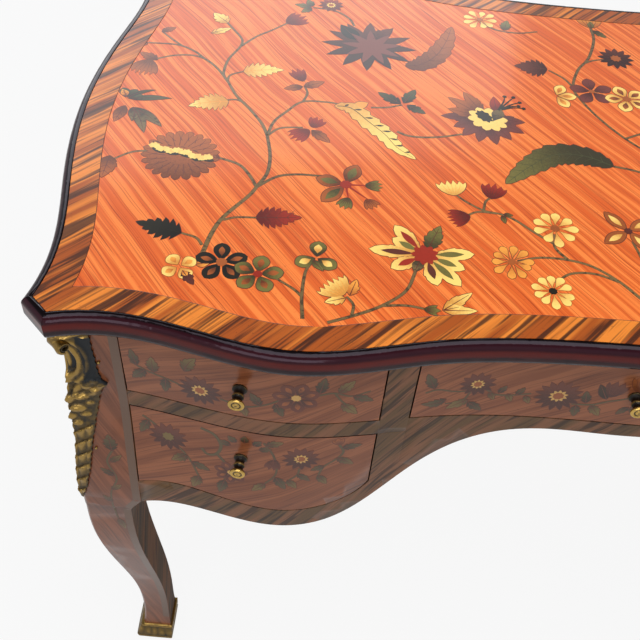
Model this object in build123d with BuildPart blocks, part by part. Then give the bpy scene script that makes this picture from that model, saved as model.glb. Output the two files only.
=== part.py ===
from build123d import *

import os
from math import cos, pi

# A serpentine writing table (bureau plat) with a kneehole and five drawers.
# Millimetres. +Z is up, the floor is Z = 0, the front faces -Y, and the origin
# is on the floor under the middle of the top.

os.makedirs("parts", exist_ok=True)

# ---------------------------------------------------------------- overall sizes
desk_length = 1200.0  # along X, over the bulge of the ends
desk_depth = 687.0  # along Y, over the bellies of the front and back
desk_height = 780.0

# ---------------------------------------------------------------- the top
top_thickness = 23.5
veneer = 1.5  # saw-cut veneer of the field and its banding
moulding_width = 10.0  # from the edge to the groove beside the banding
moulding_drop = 5.5  # the moulding hangs this far below the top board
moulding_round = 8.5  # rounding of the bullnose, above and below
moulding_quirk = 0.8  # width and depth of the groove beside the banding
band_width = 28.0
glue_line = 0.1  # thickness of a glued mitre
inset_steps = 24  # points along an edge that is parallel to the edge of the top

# Edge of the top in plan. Each point is set in from the belly of the front and
# from the bulge of the end, and the back repeats the front.
corner_from_end = 43.6
corner_from_belly = 18.4
corner_cut = 25.2  # the corner is cut off at 45 degrees, this much each way
dip_from_corner = 63.0
dip_from_belly = 26.5
belly_from_corner = 220.0
shoulder_from_middle = 200.0
shoulder_from_belly = 27.5
flank_from_middle = 105.0
flank_from_belly = 39.3
middle_from_belly = 42.3
end_waist_from_corner = 61.0
end_waist_from_bulge = 26.6
end_flank_from_middle = 120.0
end_flank_from_bulge = 10.7

# ---------------------------------------------------------------- the carcase
post_from_end = 47.0  # leg corner, in from the end of the top
post_from_belly = 46.4
post_width = 53.6
centre_drawer_width = 427.4
divider_width = 28.3
drawer_gap = 1.5
rail_thickness = 23.0  # least thickness of the frame behind the front
side_thickness = 20.0  # least thickness of the end panels
partition_thickness = 18.0
dust_board_thickness = 6.0

# Face of the carcase in plan, in from the belly and the bulge of the top.
face_post = 44.5  # at the inner face of the leg's post
face_belly = 21.5
face_shoulder = 34.6
face_flank = 49.3
face_flank_from_divider = 49.0
face_middle = 56.3
face_end_middle = 22.0
face_end_flank = 33.0
knee_swell = 15.6  # how far the corners swell out, from the drawers down to the knee
belly_swell = 0.3  # share of that swell at the belly of the front
flank_swell = 0.35  # and at the flank of the end

# Heights, hung from the underside of the top.
top_rail_height = 10.0
upper_drawer_height = 92.7
mid_rail_height = 22.7
lower_drawer_outer = 126.6  # height of the lower drawer at its outer end
lower_drawer_rise = 117.0  # where its lower edge arches up
lower_drawer_belly = 139.8
lower_drawer_turn = 125.0  # where the lower edge turns up to the inner end
lower_drawer_inner = 89.0
apron_outer = 41.6  # wood left under the lower drawer, along its lower edge
apron_rise = 38.6
apron_belly = 33.8
apron_turn = 41.0
# Kneehole arch: in from the divider's inner face, and below the top of the middle rail.
arch = [(-22.7, 144.3), (13.9, 91.8), (55.2, 48.8), (98.2, 26.2), (145.0, 18.3)]
arch_middle = 19.7
end_apron_rise = 12.0  # lower edge of the end panels, above and below the apron's end
end_apron_drop = 8.0
end_apron_quarter = 50.0
ear_drop = 24.0  # the leg's ear curves in below the apron over this height

# ---------------------------------------------------------------- legs
knee_drop = 56.0  # knee, below the end of the apron
knee_width = 54.2
ankle_height = 93.0
ankle_width = 36.8
ankle_from_post = 15.7  # the ankle stands in from the leg's corner
foot_height = 30.0
foot_width = 41.0
foot_from_post = 12.0
toe_width = 48.0
toe_from_post = 4.0
leg_steps = 7  # sections from knee to ankle
corner_bevel = 12.0  # flat on the corner of the post, under the mount
crest_bevel = 3.0  # softened corner of the leg below it

# ---------------------------------------------------------------- drawers
behind_drawers = 44.2  # free space from the ends of the drawer sides to the back posts
drawer_side = 10.0
drawer_back = 10.0
drawer_bottom = 6.0
bottom_lift = 8.0  # bottom panel, above the lower edge of the sides
groove_depth = 5.0
groove_play = 0.2
back_from_end = 8.0  # the sides run on past the drawer's back
back_from_top = 3.0
upper_box_height = 84.0
lower_box_height = 78.0
box_lift = 2.0  # sides, above the lower edge of the drawer's front
lower_box_lift = 3.5
stop_play = 0.5  # between a closed drawer front and the frame behind it
runner_play = 0.4  # between a drawer side and its runner
runner_height = 12.0
runner_width = 14.0
runner_wall = 12.0  # thickness of an outer guide
guide_height = 20.0
tail_length = 12.0  # dovetails into the drawer front
tail_root = 14.0
tail_spread = 4.0
tails = 3

# ---------------------------------------------------------------- knobs
knob_base = 6.4  # radii, from the drawer outwards
knob_neck = 3.8
knob_collar = 6.0
knob_waist = 3.9
knob_head = 8.2
knob_dimple = 3.4
knob_reach = 21.0
knob_drop = 46.5  # knob axis, below the top of the drawer
knob_out = 9.5  # side knobs sit this far outboard of the drawer's middle
knob_sink = 1.5  # the base is turned this much too long, then fitted to the curved front
screw_radius = 2.0
screw_play = 0.05
screw_head_radius = 4.0
screw_head = 3.0
screw_grip = 8.0  # thread inside the knob

# ---------------------------------------------------------------- joinery
tenon_length = 16.0
tenon_thickness = 12.0
tenon_inset = 14.0  # from the back of the frame to the tenon
tenon_shoulder = 5.0  # wood left above and below a tenon
stub = 9.0  # short tenons of the dividers
tongue = 10.0
tongue_thickness = 10.0
tongue_inset = 4.0
block_size = 22.0
block_length = 40.0
block_height = 40.0
block_from_middle = 110.0
top_screw_radius = 2.0
top_screw_head = 4.0
top_screw_bite = 12.0  # into the top board
rail_screw_inset = 12.0

# ---------------------------------------------------------------- bronze
# Corner mount: below the top, out from the leg's corner, and wrapped along each face.
mount_profile = [
    (0.5, 6.0, 26.0),
    (34.0, 6.0, 29.0),
    (60.0, 2.6, 28.0),
    (82.0, -1.0, 30.0),
    (108.0, 3.6, 25.0),
    (134.0, 5.4, 22.0),
    (160.0, 6.0, 18.0),
    (195.0, 3.2, 14.0),
    (233.0, 2.4, 14.0),
    (268.0, 1.6, 9.0),
    (299.0, 0.8, 3.0),
]
mount_lip = 1.6  # thickness of its edges
scroll_radius = 9.0
scroll_length = 27.0
scroll_from_corner = 5.4
scroll_drop = 38.0
rosette_radius = 10.0
rosette_drop = 168.0
rosette_sink = 3.0
sabot_wall = 2.6
sabot_sole = 4.0
sabot_height = 34.0
# Leaf that climbs the leg's corner: height, out, and wrapped along each face.
sabot_leaf = [(30.0, 3.0, 19.0), (44.0, 2.4, 11.0), (57.0, 1.0, 2.0)]

# ================================================================ derived places
half_length = desk_length / 2
half_depth = desk_depth / 2
carcase_top = desk_height - top_thickness
board_top = desk_height - veneer
moulding_low = carcase_top - moulding_drop
moulding_height = desk_height - moulding_low

corner = (half_length - corner_from_end, half_depth - corner_from_belly)
end_corner = (corner[0] + corner_cut, corner[1] - corner_cut)
mitre = corner[0] + corner_cut / 2 - (corner[1] - corner_cut / 2)

post = (half_length - post_from_end, half_depth - post_from_belly)
post_in = (post[0] - post_width, post[1] - post_width)

centre_end = centre_drawer_width / 2
divider_in = centre_end + drawer_gap
divider_out = divider_in + divider_width
side_in = divider_out + drawer_gap
side_out = post_in[0] - drawer_gap
side_width = side_out - side_in
side_middle = (side_in + side_out) / 2

belly_x = corner[0] - belly_from_corner
frame_back = half_depth - face_middle - rail_thickness
front_back = frame_back + stop_play  # flat inner face of the drawer fronts
drawer_end = post_in[1] - behind_drawers
end_panel_in = post[0] - side_thickness
partition_out = (divider_in + divider_out + partition_thickness) / 2
partition_in = partition_out - partition_thickness

opening_top = carcase_top - top_rail_height
upper_top = opening_top - drawer_gap
upper_bottom = upper_top - upper_drawer_height
mid_rail_top = upper_bottom - drawer_gap
mid_rail_bottom = mid_rail_top - mid_rail_height
lower_top = mid_rail_bottom - drawer_gap

apron_end = lower_top - lower_drawer_outer - drawer_gap - apron_outer
knee = apron_end - knee_drop
upper_box = upper_bottom + box_lift
lower_box = lower_top - lower_drawer_inner + lower_box_lift
lower_floor = lower_box - runner_play - runner_height
upper_floor = upper_box - runner_play - runner_height


def side_x(share):
    """X of a point on a side drawer, from its outer end (0) to its inner end (1)."""
    return side_out - share * side_width


def swell(height):
    """How far the corners of the carcase have swelled out at a height."""
    share = (mid_rail_top - height) / (mid_rail_top - apron_end)
    share = min(max(share, 0), 1)
    return knee_swell * (1 - cos(pi * share)) / 2


# ================================================================ helpers
def save(piece, name):
    """Labels a finished piece and writes it."""
    piece.part.label = name
    export_step(piece.part, f"parts/{name}.step")


def image(piece, plane):
    """The mirror image of a piece."""
    with BuildPart() as other:
        mirror(piece.part, about=plane)
    return other


def block(x, y, z, mode=Mode.ADD):
    """A box between two corners: x, y and z are its (low, high) limits."""
    middle = [(low + high) / 2 for low, high in (x, y, z)]
    with Locations(tuple(middle)):
        Box(*[high - low for low, high in (x, y, z)], mode=mode)


def mirrored_x(half):
    """A front's points from left to right. half runs from its right end to the middle."""
    return [(-x, y) for x, y in half] + half[-2::-1]


def mirrored_y(half):
    """An end's points from front to back. half runs from its front end to the middle."""
    return half + [(x, -y) for x, y in half[-2::-1]]


def set_in(points, inset):
    """Points of a spline, moved to its left by inset."""
    edge = Spline(*points, mode=Mode.PRIVATE)
    moved = []
    for step in range(inset_steps + 1):
        along = edge % (step / inset_steps)
        place = edge @ (step / inset_steps)
        moved.append((place.X - inset * along.Y, place.Y + inset * along.X))
    return moved


def serpentine(front, end):
    """Four serpentine edges that meet at the corners.

    front holds (x, y) from the right corner to the middle, end from the corner to
    the middle of the right end, both as distances from the middle of the desk.
    """
    front_points = mirrored_x([(x, -y) for x, y in front])
    end_points = mirrored_y([(x, -y) for x, y in end])
    Spline(*front_points)
    Spline(*[(x, -y) for x, y in front_points])
    Spline(*end_points)
    Spline(*[(-x, y) for x, y in end_points])


# ================================================================ shapes in plan
top_front = [
    corner,
    (corner[0] - dip_from_corner, half_depth - dip_from_belly),
    (belly_x, half_depth),
    (shoulder_from_middle, half_depth - shoulder_from_belly),
    (flank_from_middle, half_depth - flank_from_belly),
    (0, half_depth - middle_from_belly),
]
top_end = [
    end_corner,
    (half_length - end_waist_from_bulge, end_corner[1] - end_waist_from_corner),
    (half_length - end_flank_from_bulge, end_flank_from_middle),
    (half_length, 0),
]
front_edge = mirrored_x([(x, -y) for x, y in top_front])
end_edge = mirrored_y([(x, -y) for x, y in top_end])


def across_corners(inset):
    """Distance over two opposite clipped corners of the top, moved in by inset."""
    return 2**0.5 * (corner[0] + corner[1]) - 2 * inset


def top_outline(height, inset):
    """The top in plan, moved in by inset, as a face at a height.

    It is a bar between the front and back edges, cut to the end edges and then to
    the four clipped corners.
    """
    front = set_in(front_edge, inset)
    end = set_in(end_edge, inset)
    across = across_corners(inset)
    with BuildSketch(Plane.XY.offset(height)) as outline:
        with BuildLine():
            Spline(*front)
            Spline(*[(x, -y) for x, y in front])
            for far in (-desk_length, desk_length):
                x, y = front[0 if far < 0 else -1]
                Polyline((x, y), (far, y), (far, -y), (x, -y))
        make_face()
        with BuildLine():
            Spline(*end)
            Spline(*[(-x, y) for x, y in end])
            for far in (-desk_depth, desk_depth):
                x, y = end[0 if far < 0 else -1]
                Polyline((x, y), (x, far), (-x, far), (-x, y))
        make_face(mode=Mode.INTERSECT)
        Rectangle(across, across, rotation=45, mode=Mode.INTERSECT)
    return outline.sketch


def face_at_post(height):
    """Where the front face meets the inner side of the leg's post, at a height."""
    return half_depth - face_post + swell(height)


def carcase_outline(height):
    """The carcase in plan at a height; its corners swell towards the knee."""
    out = swell(height)
    face = [
        (post[0] + out, post[1] + out),
        (post_in[0], face_at_post(height)),
        (belly_x, half_depth - face_belly + belly_swell * out),
        (side_in, half_depth - face_shoulder),
        (divider_in - face_flank_from_divider, half_depth - face_flank),
        (0, half_depth - face_middle),
    ]
    end = [
        face[0],
        (post[0] + out, post_in[1]),
        (half_length - face_end_flank + flank_swell * out, end_flank_from_middle),
        (half_length - face_end_middle, 0),
    ]
    with BuildSketch(Plane.XY.offset(height)) as outline:
        with BuildLine():
            serpentine(face, end)
        make_face()
    return outline.sketch


# The carcase as one solid, from which every curved member of the frame is cut.
swell_steps = 4
swell_levels = [
    mid_rail_top - (mid_rail_top - apron_end) * step / swell_steps
    for step in range(swell_steps + 1)
]
with BuildPart() as stock:
    levels = [carcase_top, *swell_levels, apron_end - ear_drop]
    loft([carcase_outline(level) for level in levels])


def front_point(x, height):
    """The point of the front face at x and height, and the outward direction there."""
    face = stock.faces().sort_by(Axis.Y)[0]
    point, normal = face.find_intersection_points(Axis((x, 0, height), (0, -1, 0)))[-1]
    level = Vector(normal.X, normal.Y, 0).normalized()
    return point, level if level.Y < 0 else level * -1


# ================================================================ shapes in elevation
front_plane = Plane.XZ.offset(frame_back)
drawer_plane = Plane.XZ.offset(front_back)


def frame_face(plane):
    """The frame between the legs: a level top and the shaped lower edge."""
    lower_edge = [
        (post_in[0], apron_end),
        (side_x(0.19), lower_top - lower_drawer_rise - drawer_gap - apron_rise),
        (side_x(0.66), lower_top - lower_drawer_belly - drawer_gap - apron_belly),
        (side_x(0.82), lower_top - lower_drawer_turn - drawer_gap - apron_turn),
    ]
    lower_edge += [(divider_in - inward, mid_rail_top - drop) for inward, drop in arch]
    lower_edge += [(0, mid_rail_top - arch_middle)]
    with BuildSketch(plane) as face:
        with BuildLine():
            Spline(*mirrored_x(lower_edge))
            Polyline(
                (post_in[0], apron_end),
                (post_in[0], carcase_top),
                (-post_in[0], carcase_top),
                (-post_in[0], apron_end),
            )
        make_face()
    return face.sketch


def lower_drawer_face(plane, gap=0.0):
    """The left lower drawer's front, or its opening where gap is the play round it."""
    drops = [
        (-side_out - gap, lower_drawer_outer),
        (-side_x(0.16), lower_drawer_rise),
        (-side_x(0.66), lower_drawer_belly),
        (-side_x(0.88), lower_drawer_turn),
        (-side_in + gap, lower_drawer_inner),
    ]
    lower_edge = [(x, lower_top - drop - gap) for x, drop in drops]
    with BuildSketch(plane) as face:
        with BuildLine():
            Spline(*lower_edge)
            Polyline(
                lower_edge[-1],
                (lower_edge[-1][0], lower_top + gap),
                (lower_edge[0][0], lower_top + gap),
                lower_edge[0],
            )
        make_face()
    return face.sketch


def upper_drawer_face(plane, middle, width):
    """The rectangular front of an upper drawer or of the centre one."""
    with BuildSketch(plane) as face:
        with Locations((middle, (upper_top + upper_bottom) / 2)):
            Rectangle(width, upper_drawer_height)
    return face.sketch


# ================================================================ front frame
tenon_y = (-frame_back - tenon_inset - tenon_thickness, -frame_back - tenon_inset)
leg_tenon = (-post_in[0] - tenon_length, -post_in[0])

with BuildPart() as front_frame:
    add(stock.part)
    extrude(frame_face(front_plane), amount=half_depth - frame_back, mode=Mode.INTERSECT)

all_y = (-half_depth, -frame_back)

with BuildPart() as apron_blank:
    add(front_frame.part)
    block((-post_in[0], -divider_in), all_y, (0, mid_rail_bottom), mode=Mode.INTERSECT)
    opening = lower_drawer_face(front_plane, drawer_gap)
    extrude(opening, amount=half_depth, mode=Mode.SUBTRACT)
    apron_tenon = (apron_end + tenon_shoulder, apron_end + apron_rise - tenon_shoulder)
    block(leg_tenon, tenon_y, apron_tenon)

centre_tenon = (mid_rail_bottom - 3 * tenon_shoulder - stub, mid_rail_bottom - 2 * tenon_shoulder)
foot_tenon_x = (-divider_out + tenon_shoulder, -divider_in - tenon_shoulder)
foot_tenon_z = (mid_rail_bottom - tenon_shoulder, mid_rail_bottom)

with BuildPart() as divider_blank:
    add(front_frame.part)
    block((-divider_out, -divider_in), all_y, (mid_rail_bottom, opening_top), mode=Mode.INTERSECT)
    block(foot_tenon_x, tenon_y, foot_tenon_z)
    block(foot_tenon_x, tenon_y, (opening_top, opening_top + tenon_shoulder))

with BuildPart() as mid_rail_left:
    add(front_frame.part)
    rail_z = (mid_rail_bottom, mid_rail_top)
    block((-post_in[0], -divider_out), all_y, rail_z, mode=Mode.INTERSECT)
    rail_tenon_z = (mid_rail_bottom + tenon_shoulder, mid_rail_top - tenon_shoulder)
    block(leg_tenon, tenon_y, rail_tenon_z)
    block((-divider_out, -divider_out + stub), tenon_y, rail_tenon_z)

with BuildPart() as apron_centre:
    add(front_frame.part)
    block((-divider_in, divider_in), all_y, (0, mid_rail_top), mode=Mode.INTERSECT)
    for end in (-1, 1):
        reach = sorted((end * divider_in, end * (divider_in + stub)))
        block(reach, tenon_y, centre_tenon)

with BuildPart() as top_rail_blank:
    add(front_frame.part)
    block((-post_in[0], post_in[0]), all_y, (opening_top, carcase_top), mode=Mode.INTERSECT)
    for end in (-1, 1):
        reach = sorted((end * post_in[0], end * (post_in[0] + tenon_length)))
        block(reach, tenon_y, (opening_top, carcase_top))

# Mortises, cut by the tenons that fill them.
with BuildPart() as apron_left:
    add(apron_blank.part)
    add(divider_blank.part, mode=Mode.SUBTRACT)
    add(apron_centre.part, mode=Mode.SUBTRACT)

with BuildPart() as divider_left:
    add(divider_blank.part)
    add(mid_rail_left.part, mode=Mode.SUBTRACT)

# ================================================================ end panels and back
with BuildPart() as side_panel_left:
    add(stock.part)
    with BuildSketch(Plane.YZ.offset(-end_panel_in)):
        with BuildLine():
            half_edge = [
                (post_in[1], apron_end),
                (post_in[1] - end_apron_quarter, apron_end + end_apron_rise),
                (0, apron_end - end_apron_drop),
            ]
            Spline(*mirrored_x(half_edge))
            Polyline(
                (post_in[1], apron_end),
                (post_in[1], carcase_top),
                (-post_in[1], carcase_top),
                (-post_in[1], apron_end),
            )
        make_face()
    extrude(amount=end_panel_in - half_length, mode=Mode.INTERSECT)
    tongue_x = (-end_panel_in - tongue_inset - tongue_thickness, -end_panel_in - tongue_inset)
    tongue_z = (apron_end + tenon_shoulder, carcase_top)
    block(tongue_x, (-post_in[1] - tongue, post_in[1] + tongue), tongue_z)

with BuildPart() as back_panel:
    add(stock.part)
    back_plane = Plane.XZ.offset(-frame_back)
    extrude(frame_face(back_plane), amount=frame_back - half_depth, mode=Mode.INTERSECT)
    back_tongue_y = (frame_back + tongue_inset, frame_back + tongue_inset + tongue_thickness)
    for end in (-1, 1):
        reach = sorted((end * post_in[0], end * (post_in[0] + tongue)))
        block(reach, back_tongue_y, (apron_end + tenon_shoulder, carcase_top))

# ================================================================ legs
def leg_section(height, out, wide, bevel, face=None):
    """Square section of the front left leg, its crest cut by a bevel.

    out is how far the crest stands out from the post's corner along X and Y, and
    face is the front face where it meets the frame, if it isn't the crest's own.
    """
    crest = (post[0] + out, post[1] + out)
    inner = (crest[0] - wide, crest[1] - wide)
    face = crest[1] if face is None else face
    corners = [
        (crest[0] - bevel, crest[1]),
        (inner[0], face),
        inner,
        (crest[0], inner[1]),
        (crest[0], crest[1] - bevel),
    ]
    with BuildSketch(Plane.XY.offset(height)) as section:
        with BuildLine():
            Polyline(*[(-x, -y) for x, y in corners], close=True)
        make_face()
    return section.sketch


def leg_curve(height):
    """How far the crest stands out and how wide the leg is, between knee and ankle."""
    turn = cos(pi * (knee - height) / (knee - ankle_height))
    out = (knee_swell - ankle_from_post) / 2 + turn * (knee_swell + ankle_from_post) / 2
    wide = (knee_width + ankle_width) / 2 + turn * (knee_width - ankle_width) / 2
    return out, wide


def post_section(level):
    """Section of the post beside the drawers, its bevel narrowing towards the knee."""
    out = swell(level)
    bevel = corner_bevel + (crest_bevel - corner_bevel) * out / knee_swell
    return leg_section(level, out, post_width + out, bevel, face_at_post(level))


leg_levels = [knee - (knee - ankle_height) * step / leg_steps for step in range(leg_steps + 1)]
ear = leg_section(apron_end - ear_drop, knee_swell, knee_width, crest_bevel)
foot = leg_section(foot_height, -foot_from_post, foot_width, crest_bevel)

with BuildPart() as leg_blank:
    loft([post_section(carcase_top), post_section(mid_rail_top)], ruled=True)
    loft([post_section(level) for level in swell_levels])
    loft([post_section(apron_end), ear], ruled=True)
    shin = [leg_section(apron_end, knee_swell, knee_width, crest_bevel)]
    shin += [leg_section(level, *leg_curve(level), crest_bevel) for level in leg_levels]
    loft(shin + [foot])
    loft([foot, leg_section(sabot_sole, -toe_from_post, toe_width, crest_bevel)], ruled=True)

leg_planes = {
    "front_left": [],
    "front_right": [Plane.YZ],
    "back_left": [Plane.XZ],
    "back_right": [Plane.YZ, Plane.XZ],
}


def placed(piece, planes):
    """A front left piece, mirrored to another corner of the desk."""
    for plane in planes:
        piece = image(piece, plane)
    return piece


apron_right = image(apron_left, Plane.YZ)
mid_rail_right = image(mid_rail_left, Plane.YZ)
side_panel_right = image(side_panel_left, Plane.YZ)
divider_right = image(divider_left, Plane.YZ)
front_joints = [apron_left, apron_right, mid_rail_left, mid_rail_right, top_rail_blank]

for place, planes in leg_planes.items():
    neighbours = [side_panel_right if "right" in place else side_panel_left]
    neighbours += front_joints if "front" in place else [back_panel]
    with BuildPart() as leg:
        add(placed(leg_blank, planes).part)
        for neighbour in neighbours:
            add(neighbour.part, mode=Mode.SUBTRACT)
    save(leg, f"leg_{place}")

# ================================================================ bronze mounts
def kite(height, out, wrap, lip, corner_at):
    """Section of a mount astride the leg's crest, thin where it ends on each face."""
    x, y = corner_at
    corners = [(x + out, y + out), (x - wrap, y + lip), (x - wrap, y - wrap), (x + lip, y - wrap)]
    with BuildSketch(Plane.XY.offset(height)) as section:
        with BuildLine():
            Polyline(*[(-across, -along) for across, along in corners], close=True)
        make_face()
    return section.sketch


def crest_at(height):
    """The leg's corner at a height, without its bevel."""
    if height >= knee:
        out = swell(height)
    elif height >= ankle_height:
        out = leg_curve(height)[0]
    elif height >= foot_height:
        share = (height - foot_height) / (ankle_height - foot_height)
        out = -foot_from_post - share * (ankle_from_post - foot_from_post)
    else:
        share = (height - sabot_sole) / (foot_height - sabot_sole)
        out = -toe_from_post - share * (foot_from_post - toe_from_post)
    return post[0] + out, post[1] + out


with BuildPart() as mount:
    sections = []
    for drop, out, wrap in mount_profile:
        level = carcase_top - drop
        sections.append(kite(level, out, wrap, mount_lip, crest_at(level)))
    loft(sections)
    scroll_at = crest_at(carcase_top - scroll_drop)
    out = scroll_from_corner / 2**0.5
    centre = (-scroll_at[0] - out, -scroll_at[1] - out, carcase_top - scroll_drop)
    with Locations(Plane(origin=centre, z_dir=(1, -1, 0))):
        Cylinder(scroll_radius, scroll_length)
    rosette_at = crest_at(carcase_top - rosette_drop)
    sink = rosette_sink / 2**0.5
    with Locations((sink - rosette_at[0], sink - rosette_at[1], carcase_top - rosette_drop)):
        Sphere(rosette_radius)
    add(leg_blank.part, mode=Mode.SUBTRACT)

with BuildPart() as sabot:
    shoe = []
    for height, out, wide in (
        (0, -toe_from_post, toe_width),
        (sabot_sole, -toe_from_post, toe_width),
        (foot_height, -foot_from_post, foot_width),
        (sabot_height, -foot_from_post - 1, foot_width - 1),
    ):
        shoe.append(leg_section(height, out + sabot_wall, wide + 2 * sabot_wall, crest_bevel))
    loft(shoe, ruled=True)
    leaf = [kite(height, out, wrap, mount_lip, crest_at(height)) for height, out, wrap in sabot_leaf]
    loft(leaf)
    add(leg_blank.part, mode=Mode.SUBTRACT)

for place, planes in leg_planes.items():
    save(placed(mount, planes), f"corner_mount_{place}")
    save(placed(sabot, planes), f"foot_sabot_{place}")

# ================================================================ inside the carcase
carcase_y = (-frame_back, frame_back)
between_legs = (-post_in[1], post_in[1])

with BuildPart() as partition_left:
    block((-partition_out, -partition_in), carcase_y, (lower_box - box_lift, carcase_top))


def runner(wall, ledge, guide, floor, start):
    """Section of a runner with its guide: X of the guide's back, the ledge and the guide."""
    top = floor + runner_height
    corners = [
        (wall, floor),
        (ledge, floor),
        (ledge, top),
        (guide, top),
        (guide, top + guide_height),
        (wall, top + guide_height),
    ]
    with BuildSketch(Plane.XZ.offset(start)) as section:
        with BuildLine():
            Polyline(*corners, close=True)
        make_face()
    return section.sketch


outer_guide = (-post_in[0] - runner_wall, -side_out + runner_width, -post_in[0])
inner_guide = (-partition_out, -side_in - runner_width, -divider_out)
centre_guide = (-partition_in, -centre_end + runner_width, -divider_in)

with BuildPart() as runners_left:
    for floor in (lower_floor, upper_floor):
        extrude(runner(*outer_guide, floor, post_in[1]), amount=-2 * post_in[1])
        extrude(runner(*inner_guide, floor, frame_back), amount=-2 * frame_back)

with BuildPart() as runners_centre:
    extrude(runner(*centre_guide, upper_floor, frame_back), amount=-2 * frame_back)
    mirror(about=Plane.YZ)

with BuildPart() as dust_boards:
    board = (lower_floor - dust_board_thickness, lower_floor)
    inner_end = -side_in + drawer_gap
    block((-post_in[0], inner_end), carcase_y, board)
    block((-end_panel_in, -post_in[0]), between_legs, board)
    mirror(about=Plane.YZ)
    board = (upper_floor - dust_board_thickness, upper_floor)
    block((-partition_in, partition_in), carcase_y, board)

side_blocks = [
    (end * (end_panel_in - block_size / 2), step * block_from_middle)
    for end in (-1, 1)
    for step in (-1, 1)
]
back_blocks = [(x, frame_back - block_size / 2) for x in (-side_middle, 0, side_middle)]
rail_screws = [(x, -frame_back - rail_screw_inset) for x in (-side_middle, 0, side_middle)]


with BuildPart() as top_screws:
    screw_places = [(place, carcase_top - block_height) for place in side_blocks + back_blocks]
    screw_places += [(place, opening_top) for place in rail_screws]
    for place, head in screw_places:
        with Locations((*place, head)):
            Cone(
                top_screw_head,
                top_screw_radius,
                top_screw_head - top_screw_radius,
                align=(Align.CENTER, Align.CENTER, Align.MIN),
            )
            Cylinder(
                top_screw_radius,
                carcase_top + top_screw_bite - head,
                align=(Align.CENTER, Align.CENTER, Align.MIN),
            )

with BuildPart() as corner_blocks:
    middle_z = carcase_top - block_height / 2
    for x, y in side_blocks:
        with Locations((x, y, middle_z)):
            Box(block_size, block_length, block_height)
    for x, y in back_blocks:
        with Locations((x, y, middle_z)):
            Box(block_length, block_size, block_height)
    add(top_screws.part, mode=Mode.SUBTRACT)

with BuildPart() as top_rail:
    add(top_rail_blank.part)
    for joined in (divider_left, divider_right, top_screws):
        add(joined.part, mode=Mode.SUBTRACT)

# ================================================================ the top
with BuildPart() as top_board:
    extrude(top_outline(carcase_top, moulding_width), amount=top_thickness - veneer)
    add(top_screws.part, mode=Mode.SUBTRACT)

field_inset = moulding_width + band_width

with BuildPart() as top_field_veneer:
    extrude(top_outline(board_top, field_inset), amount=veneer)

with BuildPart() as top_cross_banding:
    extrude(top_outline(board_top, moulding_width), amount=veneer)
    add(top_field_veneer.part, mode=Mode.SUBTRACT)
    for end in (-1, 1):
        for side in (-1, 1):
            heel = (end * mitre, 0, board_top + veneer / 2)
            with Locations(Plane(origin=heel, x_dir=(end, side, 0), z_dir=(0, 0, 1))):
                Box(2 * desk_length, glue_line, veneer, mode=Mode.SUBTRACT)


def bullnosed_bar(points, flip):
    """A bar as high as the moulding between a serpentine edge and its image, both rounded.

    flip is what turns a point of the edge into its image. The edge runs on straight
    at both ends, past the corners of the desk.
    """

    def image_of(place):
        return place.X * flip[0], place.Y * flip[1]

    with BuildPart() as bar:
        with BuildSketch(Plane.XY.offset(moulding_low)):
            with BuildLine():
                edge = Spline(*points)
                start = edge @ 0 - edge % 0 * desk_length
                end = edge @ 1 + edge % 1 * desk_length
                Line(start, edge @ 0)
                Line(edge @ 1, end)
                Spline(*[(x * flip[0], y * flip[1]) for x, y in points])
                Line(image_of(start), image_of(edge @ 0))
                Line(image_of(edge @ 1), image_of(end))
                Line(start, image_of(start))
                Line(end, image_of(end))
            make_face()
        extrude(amount=moulding_height)
        lengthwise = Axis.X if flip[0] > 0 else Axis.Y
        for level in (-1, 0):
            rim = edges().filter_by(Plane.XY).group_by(Axis.Z)[level]
            fillet(rim.sort_by(lengthwise)[1:-1], radius=moulding_round)
    return bar.part


with BuildPart() as corner_bar:
    with Locations(Location((0, 0, moulding_low + moulding_height / 2), (0, 0, 45))):
        Box(across_corners(0), across_corners(0), moulding_height)
    for level in (-1, 0):
        fillet(edges().group_by(Axis.Z)[level], radius=moulding_round)

with BuildPart() as top_edge_moulding:
    add(bullnosed_bar(front_edge, (1, -1)))
    add(bullnosed_bar(end_edge, (-1, 1)), mode=Mode.INTERSECT)
    add(corner_bar.part, mode=Mode.INTERSECT)
    inner = top_outline(moulding_low, moulding_width)
    extrude(inner, amount=moulding_height, mode=Mode.SUBTRACT)
    quirk = top_outline(desk_height, moulding_width - moulding_quirk)
    extrude(quirk, amount=-moulding_quirk, mode=Mode.SUBTRACT)
    inner_corner = inner.vertices()
    for start in (corner, end_corner):
        outer = Vector(-start[0], -start[1], moulding_low)
        across = (outer - inner_corner.sort_by_distance(outer)[0].center()).normalized()
        for turn in range(4):
            flip = Vector(-1 if turn % 2 else 1, -1 if turn // 2 else 1, 1)
            saw = Plane(
                origin=(outer.X * flip.X, outer.Y * flip.Y, moulding_low + moulding_height / 2),
                x_dir=(across.X * flip.X, across.Y * flip.Y, 0),
                z_dir=(0, 0, 1),
            )
            with Locations(saw):
                Box(4 * moulding_width, glue_line, moulding_height, mode=Mode.SUBTRACT)

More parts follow.
